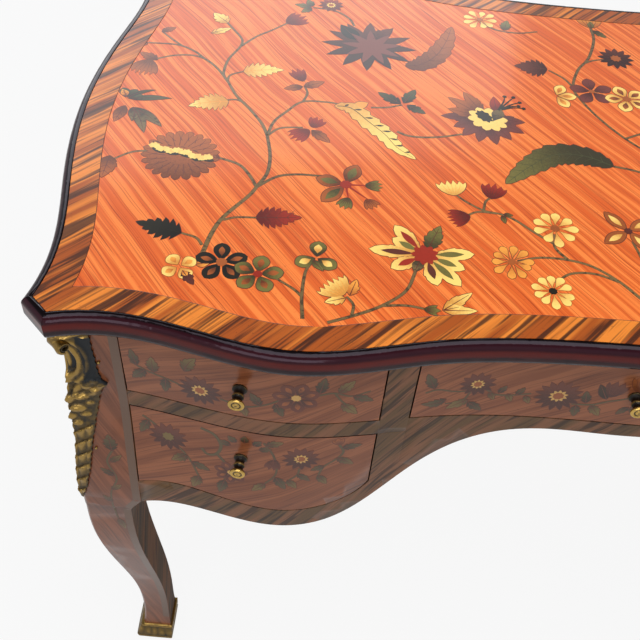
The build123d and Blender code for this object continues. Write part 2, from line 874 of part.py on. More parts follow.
save(top_board, "top_board")
save(top_field_veneer, "top_field_veneer")
save(top_cross_banding, "top_cross_banding")
save(top_edge_moulding, "top_edge_moulding")
save(apron_left, "apron_left")
save(apron_centre, "apron_centre")
save(apron_right, "apron_right")
save(mid_rail_left, "mid_rail_left")
save(mid_rail_right, "mid_rail_right")
save(divider_left, "divider_left")
save(divider_right, "divider_right")
save(top_rail, "top_rail")
save(side_panel_left, "side_panel_left")
save(side_panel_right, "side_panel_right")
save(back_panel, "back_panel")
save(partition_left, "partition_left")
save(image(partition_left, Plane.YZ), "partition_right")
save(dust_boards, "dust_boards")
save(runners_left, "runners_left")
save(runners_centre, "runners_centre")
save(image(runners_left, Plane.YZ), "runners_right")
save(corner_blocks, "corner_blocks")
save(top_screws, "top_screws")

# ================================================================ drawers
def drawer_parts(face, middle, half_width, low, height, knob_x, knob_z):
    """The six pieces of a drawer: front, sides, back, bottom, and knob with its screw.

    face is the front in elevation, middle and half_width place the drawer's sides
    in X, and low and height place them in Z.
    """
    side_inner = half_width - drawer_side
    bottom_low = low + bottom_lift
    bottom_high = bottom_low + drawer_bottom
    back_y = (drawer_end - back_from_end - drawer_back, drawer_end - back_from_end)
    groove = side_inner + groove_depth

    with BuildPart() as sides:
        with BuildSketch(Plane.YZ.offset(middle + side_inner)):
            with Locations(((drawer_end - front_back) / 2, low + height / 2)):
                Rectangle(drawer_end + front_back, height)
            for tail in range(tails):
                tail_z = low + height * (tail + 0.5) / tails
                with BuildLine():
                    Polyline(
                        (-front_back, tail_z - tail_root / 2),
                        (-front_back, tail_z + tail_root / 2),
                        (-front_back - tail_length, tail_z + tail_root / 2 + tail_spread),
                        (-front_back - tail_length, tail_z - tail_root / 2 - tail_spread),
                        close=True,
                    )
                make_face()
        extrude(amount=drawer_side)
        inner_x = (middle + side_inner, middle + groove)
        block(inner_x, (-front_back, drawer_end), (bottom_low, bottom_high), mode=Mode.SUBTRACT)
        block(inner_x, back_y, (bottom_high, low + height), mode=Mode.SUBTRACT)
        mirror(about=Plane.YZ.offset(middle))

    point, outward = front_point(knob_x, knob_z)
    up = Vector(0, 0, 1)
    depth = (front_back + point.Y) / outward.Y
    profile_plane = Plane(origin=point, x_dir=up, z_dir=up.cross(outward))
    axis = Axis(point, outward)

    with BuildPart() as screw:
        with BuildSketch(profile_plane):
            with BuildLine():
                Polyline(
                    (0, -depth),
                    (screw_head_radius, -depth),
                    (screw_head_radius, -depth + screw_head),
                    (screw_radius, -depth + screw_head),
                    (screw_radius, screw_grip),
                    (0, screw_grip),
                    close=True,
                )
            make_face()
        revolve(axis=axis)

    with BuildPart() as front:
        add(stock.part)
        extrude(face, amount=half_depth - front_back, mode=Mode.INTERSECT)
        add(sides.part, mode=Mode.SUBTRACT)
        lap_x = (middle - side_inner, middle + side_inner)
        lap_y = (-front_back - groove_depth, -front_back)
        block(lap_x, lap_y, (bottom_low, bottom_high), mode=Mode.SUBTRACT)
        add(screw.part, mode=Mode.SUBTRACT)

    with BuildPart() as knob:
        with BuildSketch(profile_plane):
            with BuildLine():
                Polyline((0, -knob_sink), (knob_base, -knob_sink), (knob_base, 2.0))
                Spline(
                    (knob_base, 2.0),
                    (knob_neck, 5.0),
                    (knob_collar, 8.5),
                    (knob_waist, 12.0),
                    (knob_head, knob_reach - 3.0),
                )
                Polyline(
                    (knob_head, knob_reach - 3.0),
                    (knob_head, knob_reach - 1.2),
                    (knob_head - 1.2, knob_reach),
                    (knob_dimple + 0.8, knob_reach),
                    (knob_dimple, knob_reach - 1.5),
                    (0, knob_reach - 1.5),
                    (0, -knob_sink),
                )
            make_face()
            with BuildLine():
                bore = screw_radius + screw_play
                deep = screw_grip + 1
                Polyline((0, -knob_sink), (bore, -knob_sink), (bore, deep), (0, deep), close=True)
            make_face(mode=Mode.SUBTRACT)
        revolve(axis=axis)
        add(front.part, mode=Mode.SUBTRACT)
        add(screw.part)

    with BuildPart() as bottom:
        reach = groove - groove_play
        block((middle - reach, middle + reach), (-front_back, drawer_end), (bottom_low, bottom_high))
        reach = side_inner - groove_play
        lap = (-front_back - groove_depth + groove_play, -front_back)
        block((middle - reach, middle + reach), lap, (bottom_low, bottom_high))

    with BuildPart() as back:
        block((middle - groove, middle + groove), back_y, (bottom_high, low + height - back_from_top))

    return {"front": front, "sides": sides, "back": back, "bottom": bottom, "knob": knob}


side_half = side_width / 2
knob_x = -side_middle - knob_out
upper_face = upper_drawer_face(drawer_plane, -side_middle, side_width)
lower_face = lower_drawer_face(drawer_plane)
centre_face = upper_drawer_face(drawer_plane, 0, centre_drawer_width)

upper_left = drawer_parts(
    upper_face, -side_middle, side_half, upper_box, upper_box_height, knob_x, upper_top - knob_drop
)
lower_left = drawer_parts(
    lower_face, -side_middle, side_half, lower_box, lower_box_height, knob_x, lower_top - knob_drop
)
centre = drawer_parts(
    centre_face, 0, centre_end, upper_box, upper_box_height, 0, upper_top - knob_drop
)

for piece in centre:
    save(centre[piece], f"centre_drawer_{piece}")
for level, drawer in (("upper", upper_left), ("lower", lower_left)):
    for piece in drawer:
        save(drawer[piece], f"{level}_left_drawer_{piece}")
        save(image(drawer[piece], Plane.YZ), f"{level}_right_drawer_{piece}")
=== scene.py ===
"""Serpentine writing desk: veneers, floral marquetry and gilt bronze on its solid frame."""

import math
import random

import bmesh
import bpy
from bpy.props import FloatProperty, FloatVectorProperty, PointerProperty
from mathutils import Matrix, Vector
from mathutils.bvhtree import BVHTree
from mathutils.geometry import delaunay_2d_cdt


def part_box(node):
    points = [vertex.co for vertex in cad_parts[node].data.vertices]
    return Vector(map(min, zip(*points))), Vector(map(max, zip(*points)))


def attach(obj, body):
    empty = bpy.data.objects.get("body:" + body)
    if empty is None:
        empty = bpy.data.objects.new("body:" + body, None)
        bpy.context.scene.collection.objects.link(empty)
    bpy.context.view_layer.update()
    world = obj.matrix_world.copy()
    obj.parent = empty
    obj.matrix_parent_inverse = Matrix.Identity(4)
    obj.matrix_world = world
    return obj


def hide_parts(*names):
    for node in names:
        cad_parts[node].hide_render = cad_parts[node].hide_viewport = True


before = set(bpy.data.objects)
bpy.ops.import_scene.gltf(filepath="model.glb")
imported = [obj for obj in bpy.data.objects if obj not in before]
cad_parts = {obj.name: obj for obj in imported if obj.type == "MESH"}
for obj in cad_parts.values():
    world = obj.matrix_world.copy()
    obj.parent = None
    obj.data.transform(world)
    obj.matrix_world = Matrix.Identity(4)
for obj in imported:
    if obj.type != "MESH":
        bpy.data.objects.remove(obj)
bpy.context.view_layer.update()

bl_info = {
    "name": "Serpentine Marquetry Desk",
    "version": (1, 0, 0),
    "blender": (4, 5, 0),
    "location": "View3D > Sidebar > Desk",
    "description": "Dresses a serpentine writing desk with veneers, marquetry and gilt bronze",
    "category": "Object",
}

MM = 0.001
FLUSH = 1e-5  # how near to a level a point still counts as on it
SOFT_WOOD, SOFT_BRONZE, SOFT_BRASS = 28, 50, 60  # angles in degrees up to which an edge is shaded softly
DRAWERS = ("upper_left", "lower_left", "centre", "upper_right", "lower_right")
CORNERS = {"front_left": (-1, -1), "front_right": (1, -1), "back_left": (-1, 1), "back_right": (1, 1)}


def linear(value):
    """A colour given as 0-255 screen values, as linear light."""
    out = []
    for channel in value:
        c = channel / 255
        out.append(c / 12.92 if c <= 0.04045 else ((c + 0.055) / 1.055) ** 2.4)
    return (*out, 1.0)


# ---------------------------------------------------------------- mesh helpers
def new_piece(name, data):
    """An object of a mesh, a camera or a lamp, in the scene."""
    piece = bpy.data.objects.new(name, data)
    bpy.context.scene.collection.objects.link(piece)
    return piece


def finish_mesh(name, bm, materials, smooth=None):
    """Makes an object of a bmesh; smooth is the angle in degrees that stays soft."""
    mesh = bpy.data.meshes.new(name)
    bm.to_mesh(mesh)
    bm.free()
    for material in materials:
        mesh.materials.append(material)
    if smooth is not None:
        mesh.shade_smooth()
        mesh.set_sharp_from_angle(angle=math.radians(smooth))
    return new_piece(name, mesh)


def merged_copy(node):
    """A bmesh of a frame node with its loose triangles joined."""
    bm = bmesh.new()
    bm.from_mesh(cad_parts[node].data)
    bmesh.ops.remove_doubles(bm, verts=bm.verts, dist=1e-6)
    return bm


def settle(piece, body, slot, *nodes):
    """Sends a piece along with its body, and hides the nodes that it stands for; slot is not used."""
    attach(piece, body)
    if nodes:
        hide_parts(*nodes)


def dress(node, material, slot, body="carcass", edge=None):
    """A smooth-shaded copy of a frame node that stands for it; edge is a dark wood for faces that don't look
    forwards, painted shade for the gaps round a drawer.
    """
    bm = merged_copy(node)
    if edge:
        # faces that don't look forwards take the dark wood, as painted shade in the gaps
        for face in bm.faces:
            face.material_index = 0 if face.normal.y < -0.3 else 1
    piece = finish_mesh(f"dressed_{node}", bm, [material, edge] if edge else [material], SOFT_WOOD)
    settle(piece, body, slot, node)


def surface_of(*nodes):
    """A tree of the triangles of some frame nodes, to lay plates on."""
    verts, faces = [], []
    for node in nodes:
        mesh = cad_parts[node].data
        start = len(verts)
        verts += [v.co.copy() for v in mesh.vertices]
        faces += [[start + i for i in p.vertices] for p in mesh.polygons]
    return BVHTree.FromPolygons(verts, faces)


# ---------------------------------------------------------------- shader helpers
class Shader:
    """Builds one material or node group, a node at a time."""

    def __init__(self, tree):
        self.tree = tree
        self.nodes = tree.nodes
        self.column = 0

    def node(self, kind, **settings):
        made = self.nodes.new(kind)
        made.location = (self.column * 40, 0)
        self.column += 1
        for key, value in settings.items():
            setattr(made, key, value)
        return made

    def plug(self, source, socket):
        if isinstance(source, bpy.types.NodeSocket):
            self.tree.links.new(source, socket)
        elif isinstance(source, (tuple, list)) and len(source) == 3 and socket.type == "RGBA":
            socket.default_value = (*source, 1.0)
        else:
            socket.default_value = source

    def math(self, operation, a, b=None, clamp=False):
        made = self.node("ShaderNodeMath", operation=operation, use_clamp=clamp)
        self.plug(a, made.inputs[0])
        if b is not None:
            self.plug(b, made.inputs[1])
        return made.outputs[0]

    def mix(self, factor, a, b):
        made = self.node("ShaderNodeMix", data_type="RGBA")
        self.plug(factor, made.inputs["Factor"])
        self.plug(a, made.inputs[6])
        self.plug(b, made.inputs[7])
        return made.outputs[2]

    def step(self, value, low, high):
        """0 below low, 1 above high, smooth between."""
        made = self.node("ShaderNodeMapRange", interpolation_type="SMOOTHSTEP")
        self.plug(value, made.inputs["Value"])
        self.plug(low, made.inputs["From Min"])
        self.plug(high, made.inputs["From Max"])
        return made.outputs[0]

    def split(self, vector):
        """The X, Y and Z of a vector."""
        made = self.node("ShaderNodeSeparateXYZ")
        self.plug(vector, made.inputs[0])
        return made.outputs

    def join(self, *values):
        """A vector of two or three values."""
        made = self.node("ShaderNodeCombineXYZ")
        for value, socket in zip(values, made.inputs):
            self.plug(value, socket)
        return made.outputs[0]

    def channels(self, name):
        """The channels of a mesh's colour attribute."""
        made = self.node("ShaderNodeAttribute", attribute_name=name)
        apart = self.node("ShaderNodeSeparateColor")
        self.plug(made.outputs["Color"], apart.inputs[0])
        return apart.outputs

    def about(self, value, share):
        """A value from 0 to 1 turned into a share either side of zero."""
        return self.math("MULTIPLY", self.math("SUBTRACT", value, 0.5), share)

    def noise(self, vector, scale, detail=2.0, rough=0.5):
        made = self.node("ShaderNodeTexNoise")
        self.plug(vector, made.inputs["Vector"])
        self.plug(scale, made.inputs["Scale"])
        self.plug(detail, made.inputs["Detail"])
        self.plug(rough, made.inputs["Roughness"])
        return made.outputs["Fac"]

    def group(self, tree, **values):
        made = self.node("ShaderNodeGroup", node_tree=tree)
        for key, value in values.items():
            self.plug(value, made.inputs[key.replace("_", " ")])
        return made

    def bump(self, height, strength, distance):
        made = self.node("ShaderNodeBump")
        self.plug(height, made.inputs["Height"])
        made.inputs["Strength"].default_value = strength
        made.inputs["Distance"].default_value = distance
        return made.outputs[0]


def new_group(name, inputs, outputs):
    """A shader node group with named sockets: {name: (kind, default)} and {name: kind}."""
    tree = bpy.data.node_groups.new(name, "ShaderNodeTree")
    for label, (kind, default) in inputs.items():
        socket = tree.interface.new_socket(label, in_out="INPUT", socket_type=kind)
        if default is not None:
            socket.default_value = default
    for label, kind in outputs.items():
        tree.interface.new_socket(label, in_out="OUTPUT", socket_type=kind)
    shader = Shader(tree)
    return tree, shader, shader.node("NodeGroupInput").outputs, shader.node("NodeGroupOutput").inputs


FLOAT = "NodeSocketFloat"
VECTOR = "NodeSocketVector"


def build_figure_group():
    """Wood figure along a direction: broad stripes, fine lines and dark streaks."""
    tree, s, inside, out = new_group(
        "Wood Figure",
        {
            "Vector": (VECTOR, None),
            "Turn": (VECTOR, (0, 0, 0)),
            "Width": (FLOAT, 0.006),
            "Length": (FLOAT, 0.12),
            "Wander": (FLOAT, 0.01),
        },
        {"Broad": FLOAT, "Line": FLOAT, "Dark": FLOAT},
    )
    turned = s.node("ShaderNodeMapping", vector_type="POINT")
    s.plug(inside["Vector"], turned.inputs["Vector"])
    s.plug(inside["Turn"], turned.inputs["Rotation"])
    apart = s.split(turned.outputs[0])
    sway = s.about(s.noise(turned.outputs[0], 5.0), inside["Wander"])
    along = s.math("DIVIDE", apart["X"], inside["Length"])
    across = s.math("DIVIDE", s.math("ADD", apart["Y"], sway), inside["Width"])
    deep = s.math("DIVIDE", apart["Z"], inside["Width"])
    for name, stretch, crowd, shift, detail in (
        ("Broad", 0.6, 0.7, 0.0, 2.0), ("Line", 1.4, 3.6, 5.0, 3.0), ("Dark", 1.0, 1.5, 9.0, 3.0),
    ):
        grained = s.join(
            s.math("MULTIPLY", along, stretch), s.math("MULTIPLY", across, crowd), s.math("ADD", deep, shift),
        )
        s.plug(s.noise(grained, 1.0, detail, 0.55), out[name])
    return tree


def build_age_group():
    """Age of a polished surface: uneven gloss, small specks and a faint ripple."""
    tree, s, inside, out = new_group(
        "Polish Age",
        {"Vector": (VECTOR, None), "Gloss": (FLOAT, 0.2), "Spread": (FLOAT, 0.1)},
        {"Roughness": FLOAT, "Speck": FLOAT, "Ripple": FLOAT},
    )
    speck = s.noise(inside["Vector"], 420.0, 1.0)
    rough = s.about(s.noise(inside["Vector"], 14.0, 3.0, 0.6), inside["Spread"])
    s.plug(s.math("ADD", inside["Gloss"], rough, clamp=True), out["Roughness"])
    s.plug(s.step(speck, 0.70, 0.78), out["Speck"])
    s.plug(s.noise(inside["Vector"], 38.0), out["Ripple"])
    return tree


def new_material(name):
    """A material with its shader helper, its Principled node and its object coordinates."""
    material = bpy.data.materials.new(name)
    material.use_nodes = True
    s = Shader(material.node_tree)
    skin = s.nodes["Principled BSDF"]
    where = s.node("ShaderNodeTexCoord").outputs["Object"]
    return material, s, skin, where


def polish(s, skin, where, gloss, spread, coat, ripple=0.12, shine=0.2, haze=0.12):
    """Sets french polish on a wood: rough base, clear coat, faint ripple."""
    age = s.group(bpy.data.node_groups["Polish Age"], Vector=where, Gloss=gloss, Spread=spread)
    s.plug(age.outputs["Roughness"], skin.inputs["Roughness"])
    skin.inputs["Coat Weight"].default_value = coat
    skin.inputs["Coat Roughness"].default_value = haze
    skin.inputs["Specular IOR Level"].default_value = shine
    s.plug(s.bump(age.outputs["Ripple"], ripple, 0.0004), skin.inputs["Normal"])
    return age


def wall_plane(s, where):
    """Coordinates on an upright surface: along it level, and up."""
    apart = s.split(where)
    return s.join(s.math("ADD", apart["X"], apart["Y"]), apart["Z"])


def wood(name, tones, turn, width, length, wander, streaks, gloss, plane=None, tint=None, shine=0.2):
    """A figured wood.

    tones are the light, middle and dark wood; turn is the way of the grain in degrees; width, length and
    wander are the stripes' in metres; streaks is the dark share; gloss is polish's gloss, spread and coat.
    """
    material, s, skin, where = new_material(name)
    light, middle, dark = [linear(tone) for tone in tones]
    flat = plane(s, where) if plane else where
    figure = s.group(
        bpy.data.node_groups["Wood Figure"],
        Vector=flat, Turn=(0, 0, math.radians(turn)), Width=width, Length=length, Wander=wander,
    )
    colour = s.mix(s.step(figure.outputs["Broad"], 0.4, 0.58), light, middle)
    colour = s.mix(s.math("MULTIPLY", s.step(figure.outputs["Line"], 0.5, 0.66), 0.6), colour, dark)
    low = 0.66 - streaks
    colour = s.mix(s.math("MULTIPLY", s.step(figure.outputs["Dark"], low, low + 0.09), 0.85), colour, dark)
    age = polish(s, skin, where, *gloss, shine=shine)
    colour = s.mix(s.math("MULTIPLY", age.outputs["Speck"], 0.35), colour, dark)
    # tint paints colour over the figure; the edge's tint is painted reflection and painted shade
    if tint:
        colour = tint(s, where, colour)
    s.plug(colour, skin.inputs["Base Color"])
    return material


def inlay_wood(name, light, dark, mottle=0.0):
    """A small sand-shaded inlay: dark at the base of each cut piece, light at its tip."""
    material, s, skin, where = new_material(name)
    shade = s.channels("shade")
    soft = s.math("ADD", shade["Red"], s.about(s.noise(where, 520.0, 2.0, 0.6), 0.5))
    tint = s.math("ADD", soft, s.about(shade["Green"], 0.35))
    colour = s.mix(s.step(tint, 0.0, 0.9), linear(dark), linear(light))
    if mottle:
        patch = s.step(s.noise(where, 190.0, 2.0, 0.6), 0.52, 0.62)
        colour = s.mix(s.math("MULTIPLY", patch, mottle), colour, linear(dark))
    s.plug(colour, skin.inputs["Base Color"])
    polish(s, skin, where, 0.3, 0.08, 0.4, 0.1)
    return material


def metal(name, bright, patina, gloss):
    """A cast metal, by its relief attribute: bright on what stands out, dark in the hollows; this is real wear
    and patina, and also painted shade in the hollows and a painted highlight on the high points.
    """
    material, s, skin, where = new_material(name)
    uneven = s.about(s.noise(where, 130.0, 3.0, 0.6), 0.6)
    height = s.math("ADD", s.channels("relief")["Red"], uneven)
    wear_and_light = s.step(height, 0.12, 0.95)
    # the bronze at full, dusky and dim brightness: the lower the relief, the dimmer, down to patina in the
    # hollows, as wear and as painted shade
    full, dusky, dim = [tuple(c * share for c in bright[:3]) for share in (1.0, 0.6, 0.3)]
    warm = s.mix(s.noise(where, 60.0), full, dusky)
    wear_and_shade_tone = s.mix(s.step(height, 0.45, 0.95), dim, warm)
    s.plug(s.mix(s.step(height, 0.12, 0.5), linear(patina), wear_and_shade_tone), skin.inputs["Base Color"])
    s.plug(s.math("ADD", 0.45, s.math("MULTIPLY", wear_and_light, 0.55)), skin.inputs["Metallic"])
    rough = s.math("SUBTRACT", gloss + 0.22, s.math("MULTIPLY", wear_and_light, 0.22))
    s.plug(s.math("ADD", rough, s.math("MULTIPLY", uneven, 0.12)), skin.inputs["Roughness"])
    s.plug(s.bump(s.noise(where, 900.0, 2.0, 0.6), 0.25, 0.0002), skin.inputs["Normal"])
    return material


# ---------------------------------------------------------------- properties
def colour_property(name, description, screen_values):
    """A colour that a user would change, given as 0-255 screen values."""
    return FloatVectorProperty(
        name=name, description=description, subtype="COLOR", size=3, min=0, max=1,
        default=linear(screen_values)[:3],
    )


class DeskFinish(bpy.types.PropertyGroup):
    """Sizes and finishes that a user would change."""

    field_colour: colour_property("Field", "Middle tone of the tulipwood field", (210, 92, 30))
    banding_colour: colour_property("Banding", "Middle tone of the kingwood banding", (160, 76, 18))
    # this red shows only in the lit band round the middle of the edge; above and below it the edge carries
    # painted reflection and painted shade
    edge_colour: colour_property("Edge", "Red of the moulding round the top", (88, 20, 8))
    frame_colour: colour_property("Frame", "Middle tone of the rails, dividers and panels", (96, 70, 44))
    drawer_colour: colour_property("Drawers", "Middle tone of the drawer fronts", (124, 70, 42))
    leg_colour: colour_property("Legs", "Middle tone of the legs' faces", (112, 64, 40))
    bronze_colour: colour_property("Bronze", "Bright gilding of the mounts and sabots", (178, 144, 80))
    brass_colour: colour_property("Brass", "Brass of the knobs", (222, 182, 100))
    inlay_step: FloatProperty(
        name="Inlay step", description="Height of each layer of cut veneer above the last",
        default=0.00004, unit="LENGTH", subtype="DISTANCE",
    )
    strip_width: FloatProperty(
        name="Leg strip", description="Width of the kingwood strip along each leg",
        default=0.009, unit="LENGTH", subtype="DISTANCE",
    )
    string_width: FloatProperty(
        name="String", description="Width of the dark line between the field and the banding",
        default=0.0009, unit="LENGTH", subtype="DISTANCE",
    )
    field_sink: FloatProperty(
        name="Field sink", description="How far the field lies below the banding, to take the inlay",
        default=0.00034, unit="LENGTH", subtype="DISTANCE",
    )


def finish():
    return bpy.context.scene.desk_finish


# ---------------------------------------------------------------- stage
CAMERA_PLACE = Vector((-0.3114, -0.8231, 1.3840))
CAMERA_YAW = -0.001  # radians, as are the next two
CAMERA_PITCH = 0.853
CAMERA_ROLL = 0.087
CAMERA_LENS = 50.29
SENSOR = 36
CLIP_START = 0.02
FLOOR_REACH = 20
LAMPS = {
    # name: place, what it is aimed at, size, power, colour
    "overhead_softbox": ((0.1, -0.5, 3.0), (0, 0, 0.7), (2.4, 1.6), 46, (1, 1, 1)),
    "back_window": ((-1.1, 2.7, 2.0), (-0.3, 0, 0.9), (3.2, 1.9), 46, (0.95, 0.97, 1.0)),
    "front_fill": ((-0.6, -2.8, 1.5), (-0.1, 0, 0.55), (2.0, 1.4), 26, (1, 1, 1)),
}


def facing(place, way):
    """Where a thing stands that looks back along a way, upright."""
    return Matrix.Translation(place) @ way.to_track_quat("Z", "Y").to_matrix().to_4x4()


def seen_directly(s):
    """Whether the camera sees a thing, straight or through something clear, and whether a mirror does."""
    path = s.node("ShaderNodeLightPath").outputs
    return s.math("MAXIMUM", path["Is Camera Ray"], path["Is Transmission Ray"]), path["Is Glossy Ray"]


def make_camera(scene):
    """The camera, from its place and its three angles."""
    camera = new_piece("camera", bpy.data.cameras.new("camera"))
    camera.data.lens = CAMERA_LENS
    camera.data.sensor_width = SENSOR
    camera.data.clip_start = CLIP_START
    forward = Vector((
        math.sin(CAMERA_YAW) * math.cos(CAMERA_PITCH),
        math.cos(CAMERA_YAW) * math.cos(CAMERA_PITCH),
        -math.sin(CAMERA_PITCH),
    ))
    right = Vector((math.cos(CAMERA_YAW), -math.sin(CAMERA_YAW), 0))
    up = right.cross(forward)
    rolled = right * math.cos(CAMERA_ROLL) + up * math.sin(CAMERA_ROLL)
    up = up * math.cos(CAMERA_ROLL) - right * math.sin(CAMERA_ROLL)
    turn = Matrix((rolled, up, -forward)).transposed().to_4x4()
    camera.matrix_world = Matrix.Translation(CAMERA_PLACE) @ turn
    scene.camera = camera


def make_floor():
    """A pale floor that looks white, and is mirrored at half its brightness."""
    bm = bmesh.new()
    bmesh.ops.create_grid(bm, x_segments=1, y_segments=1, size=FLOOR_REACH)
    material, s, skin, where = new_material("pale_floor")
    tone = s.mix(s.noise(where, 3.0), linear((176, 176, 176)), linear((184, 184, 184)))
    s.plug(tone, skin.inputs["Base Color"])
    skin.inputs["Roughness"].default_value = 0.9
    bright = s.node("ShaderNodeEmission")
    bright.inputs["Color"].default_value = (1, 1, 1, 1)
    shown, mirrored = seen_directly(s)
    both = s.node("ShaderNodeMixShader")
    s.plug(s.math("MAXIMUM", s.math("MULTIPLY", shown, 0.9), s.math("MULTIPLY", mirrored, 0.5)), both.inputs[0])
    s.plug(skin.outputs[0], both.inputs[1])
    s.plug(bright.outputs[0], both.inputs[2])
    s.plug(both.outputs[0], s.nodes["Material Output"].inputs["Surface"])
    floor = finish_mesh("studio_floor", bm, [material])


def make_world(scene):
    """A room: white where it is seen, a dim ceiling over pale walls where it is mirrored."""
    world = bpy.data.worlds.new("studio")
    scene.world = world
    world.use_nodes = True
    s = Shader(world.node_tree)
    seen, mirrored = seen_directly(s)
    height = s.split(s.node("ShaderNodeTexCoord").outputs["Generated"])["Z"]
    walls = s.math("SUBTRACT", 1.0, s.step(height, 0.42, 0.72))
    ceiling = s.mix(walls, (0.16, 0.16, 0.17), (0.66, 0.67, 0.7))
    room = s.mix(mirrored, (0.36, 0.37, 0.39), ceiling)
    s.plug(s.mix(seen, room, (1.0, 1.0, 1.0)), s.nodes["Background"].inputs["Color"])


class DESK_OT_stage(bpy.types.Operator):
    """Makes the camera, the lamps, the floor and the world"""

    bl_idname = "desk.stage"
    bl_label = "Stage"

    def execute(self, context):
        scene = context.scene
        scene.view_settings.view_transform = "Standard"
        make_camera(scene)
        make_floor()
        make_world(scene)
        for name, (place, aim, size, power, colour) in LAMPS.items():
            data = bpy.data.lights.new(name, "AREA")
            data.shape = "RECTANGLE"
            data.size, data.size_y = size
            data.energy = power
            data.color = colour
            new_piece(name, data).matrix_world = facing(place, Vector(place) - Vector(aim))
        return {"FINISHED"}


# ---------------------------------------------------------------- woods
def edge_painted_light(s, where, colour):
    """Painted light and shade on the edge, by height: the wood's red shows in a lit band round the middle, with
    a painted plum reflection above it, a painted black shadow of the groove at its upper rim, and the
    near-black base below the band as painted shade.
    """
    height = s.split(where)["Z"]
    above = s.math("SUBTRACT", 1.0, s.step(height, 0.7705, 0.7745))
    band = s.math("MULTIPLY", s.step(height, 0.7615, 0.767), above)
    cloud = s.math("ADD", 0.45, s.math("MULTIPLY", s.noise(where, 14.0, 3.0, 0.6), 0.9))
    # painted reflection: plum over the upper round of the edge
    colour = s.mix(s.math("MULTIPLY", s.step(height, 0.7705, 0.775), 0.8), colour, linear((46, 16, 24)))
    # the wood's red only in the lit band round the middle; below it the near-black base stands for shade
    colour = s.mix(s.math("MULTIPLY", band, cloud), colour, (*finish().edge_colour, 1.0))
    # painted shadow: black in the groove along the upper rim
    return s.mix(s.step(height, 0.7782, 0.7794), colour, linear((10, 5, 6)))


def shades(colour, lighter, darker):
    """Three screen tones: a linear colour with a lighter and a darker one."""
    middle = [255 * (c * 12.92 if c <= 0.0031308 else 1.055 * c ** (1 / 2.4) - 0.055) for c in colour]
    return [[min(255, max(2, m + d)) for m, d in zip(middle, by)] for by in (lighter, (0, 0, 0), darker)]


# Screen tones of the inlays: the tip of a cut piece and its base.
INLAYS = {
    "stem": ((116, 94, 56), (54, 44, 30)),
    "boxwood": ((246, 206, 112), (204, 138, 58)),
    "satinwood": ((230, 152, 62), (178, 96, 36)),
    "green": ((112, 104, 50), (54, 48, 26)),
    "dark_green": ((72, 74, 44), (32, 34, 22)),
    "ebony": ((30, 26, 14), (12, 10, 6)),
    "padouk": ((152, 40, 20), (92, 20, 12)),
    "walnut": ((160, 84, 36), (96, 46, 20)),
    "purple": ((112, 54, 46), (66, 30, 28)),
    "rosewood": ((92, 42, 30), (48, 20, 16)),
    "kingwood": ((92, 76, 62), (70, 54, 42)),
    "reserve": ((142, 84, 54), (122, 68, 42)),
}
WOODS = tuple(INLAYS)
FADED_GROUND = (118, 76, 54)  # what the inlays of the fronts, ends, back and legs have faded towards


def build_materials():
    """Makes every finish of the desk; gives back the woods, by their use."""
    chosen = finish()
    build_figure_group()
    build_age_group()
    made = {
        "field": wood(
            "tulipwood_field", shades(chosen.field_colour, (28, 36, 26), (-56, -38, -14)),
            52, 0.0044, 0.2, 0.018, 0.045, gloss=(0.34, 0.08, 0.4),
        ),
        "banding": wood(
            "kingwood_banding", shades(chosen.banding_colour, (62, 52, 26), (-112, -54, -8)),
            -48, 0.013, 0.22, 0.015, 0.16, gloss=(0.34, 0.08, 0.4),
        ),
        # near-black tones: the moulding's own dark red, darkened further as painted shade, showing below its
        # lit band
        "edge": wood(
            "dark_edge", ((46, 13, 10), (30, 8, 8), (14, 4, 5)),
            0, 0.01, 0.3, 0.03, 0.1, gloss=(0.13, 0.03, 0.05), tint=edge_painted_light, shine=0.22,
        ),
        "frame_wood": wood(
            "kingwood_frame", shades(chosen.frame_colour, (30, 14, 14), (-42, -32, -16)),
            -52, 0.013, 0.13, 0.02, 0.12, gloss=(0.34, 0.1, 0.12), plane=wall_plane,
        ),
        "inner_wood": wood(
            "kingwood_inner", ((112, 72, 40), (78, 56, 34), (44, 30, 22)),
            -52, 0.016, 0.12, 0.02, 0.12, gloss=(0.55, 0.1, 0.0), plane=wall_plane, shine=0.08,
        ),
        "drawer_wood": wood(
            "rose_tulipwood", shades(chosen.drawer_colour, (20, 16, 12), (-36, -24, -14)),
            -30, 0.009, 0.14, 0.02, 0.03, gloss=(0.3, 0.1, 0.3), plane=wall_plane,
        ),
        "leg_wood": wood(
            "rosy_leg_veneer", shades(chosen.leg_colour, (22, 15, 11), (-34, -21, -12)),
            70, 0.009, 0.12, 0.03, 0.03, gloss=(0.3, 0.1, 0.3), plane=wall_plane,
        ),
        "oak": wood(
            "plain_oak", ((196, 156, 104), (178, 136, 88), (140, 100, 62)),
            0, 0.004, 0.2, 0.02, 0.02, gloss=(0.55, 0.1, 0.0),
        ),
    }
    metal("chased_bronze", chosen.bronze_colour, (22, 25, 28), 0.32)
    metal("antique_brass", chosen.brass_colour, (26, 18, 10), 0.2)
    metal("screw_iron", linear((150, 150, 152)), (70, 66, 62), 0.38)
    edge = made["edge"].node_tree.nodes["Principled BSDF"]
    edge.inputs["Specular Tint"].default_value = (0.8, 0.64, 0.8, 1.0)
    for name, tones in INLAYS.items():
        made[name] = inlay_wood(f"inlay_{name}", *tones, 0.75 if name == "stem" else 0.0)
        faded = [[0.64 * a + 0.36 * b for a, b in zip(tone, FADED_GROUND)] for tone in tones]
        inlay_wood(f"faded_{name}", *faded)
    return made


FACING = 0.6  # how squarely a leg's face has to look inwards to be an inner one


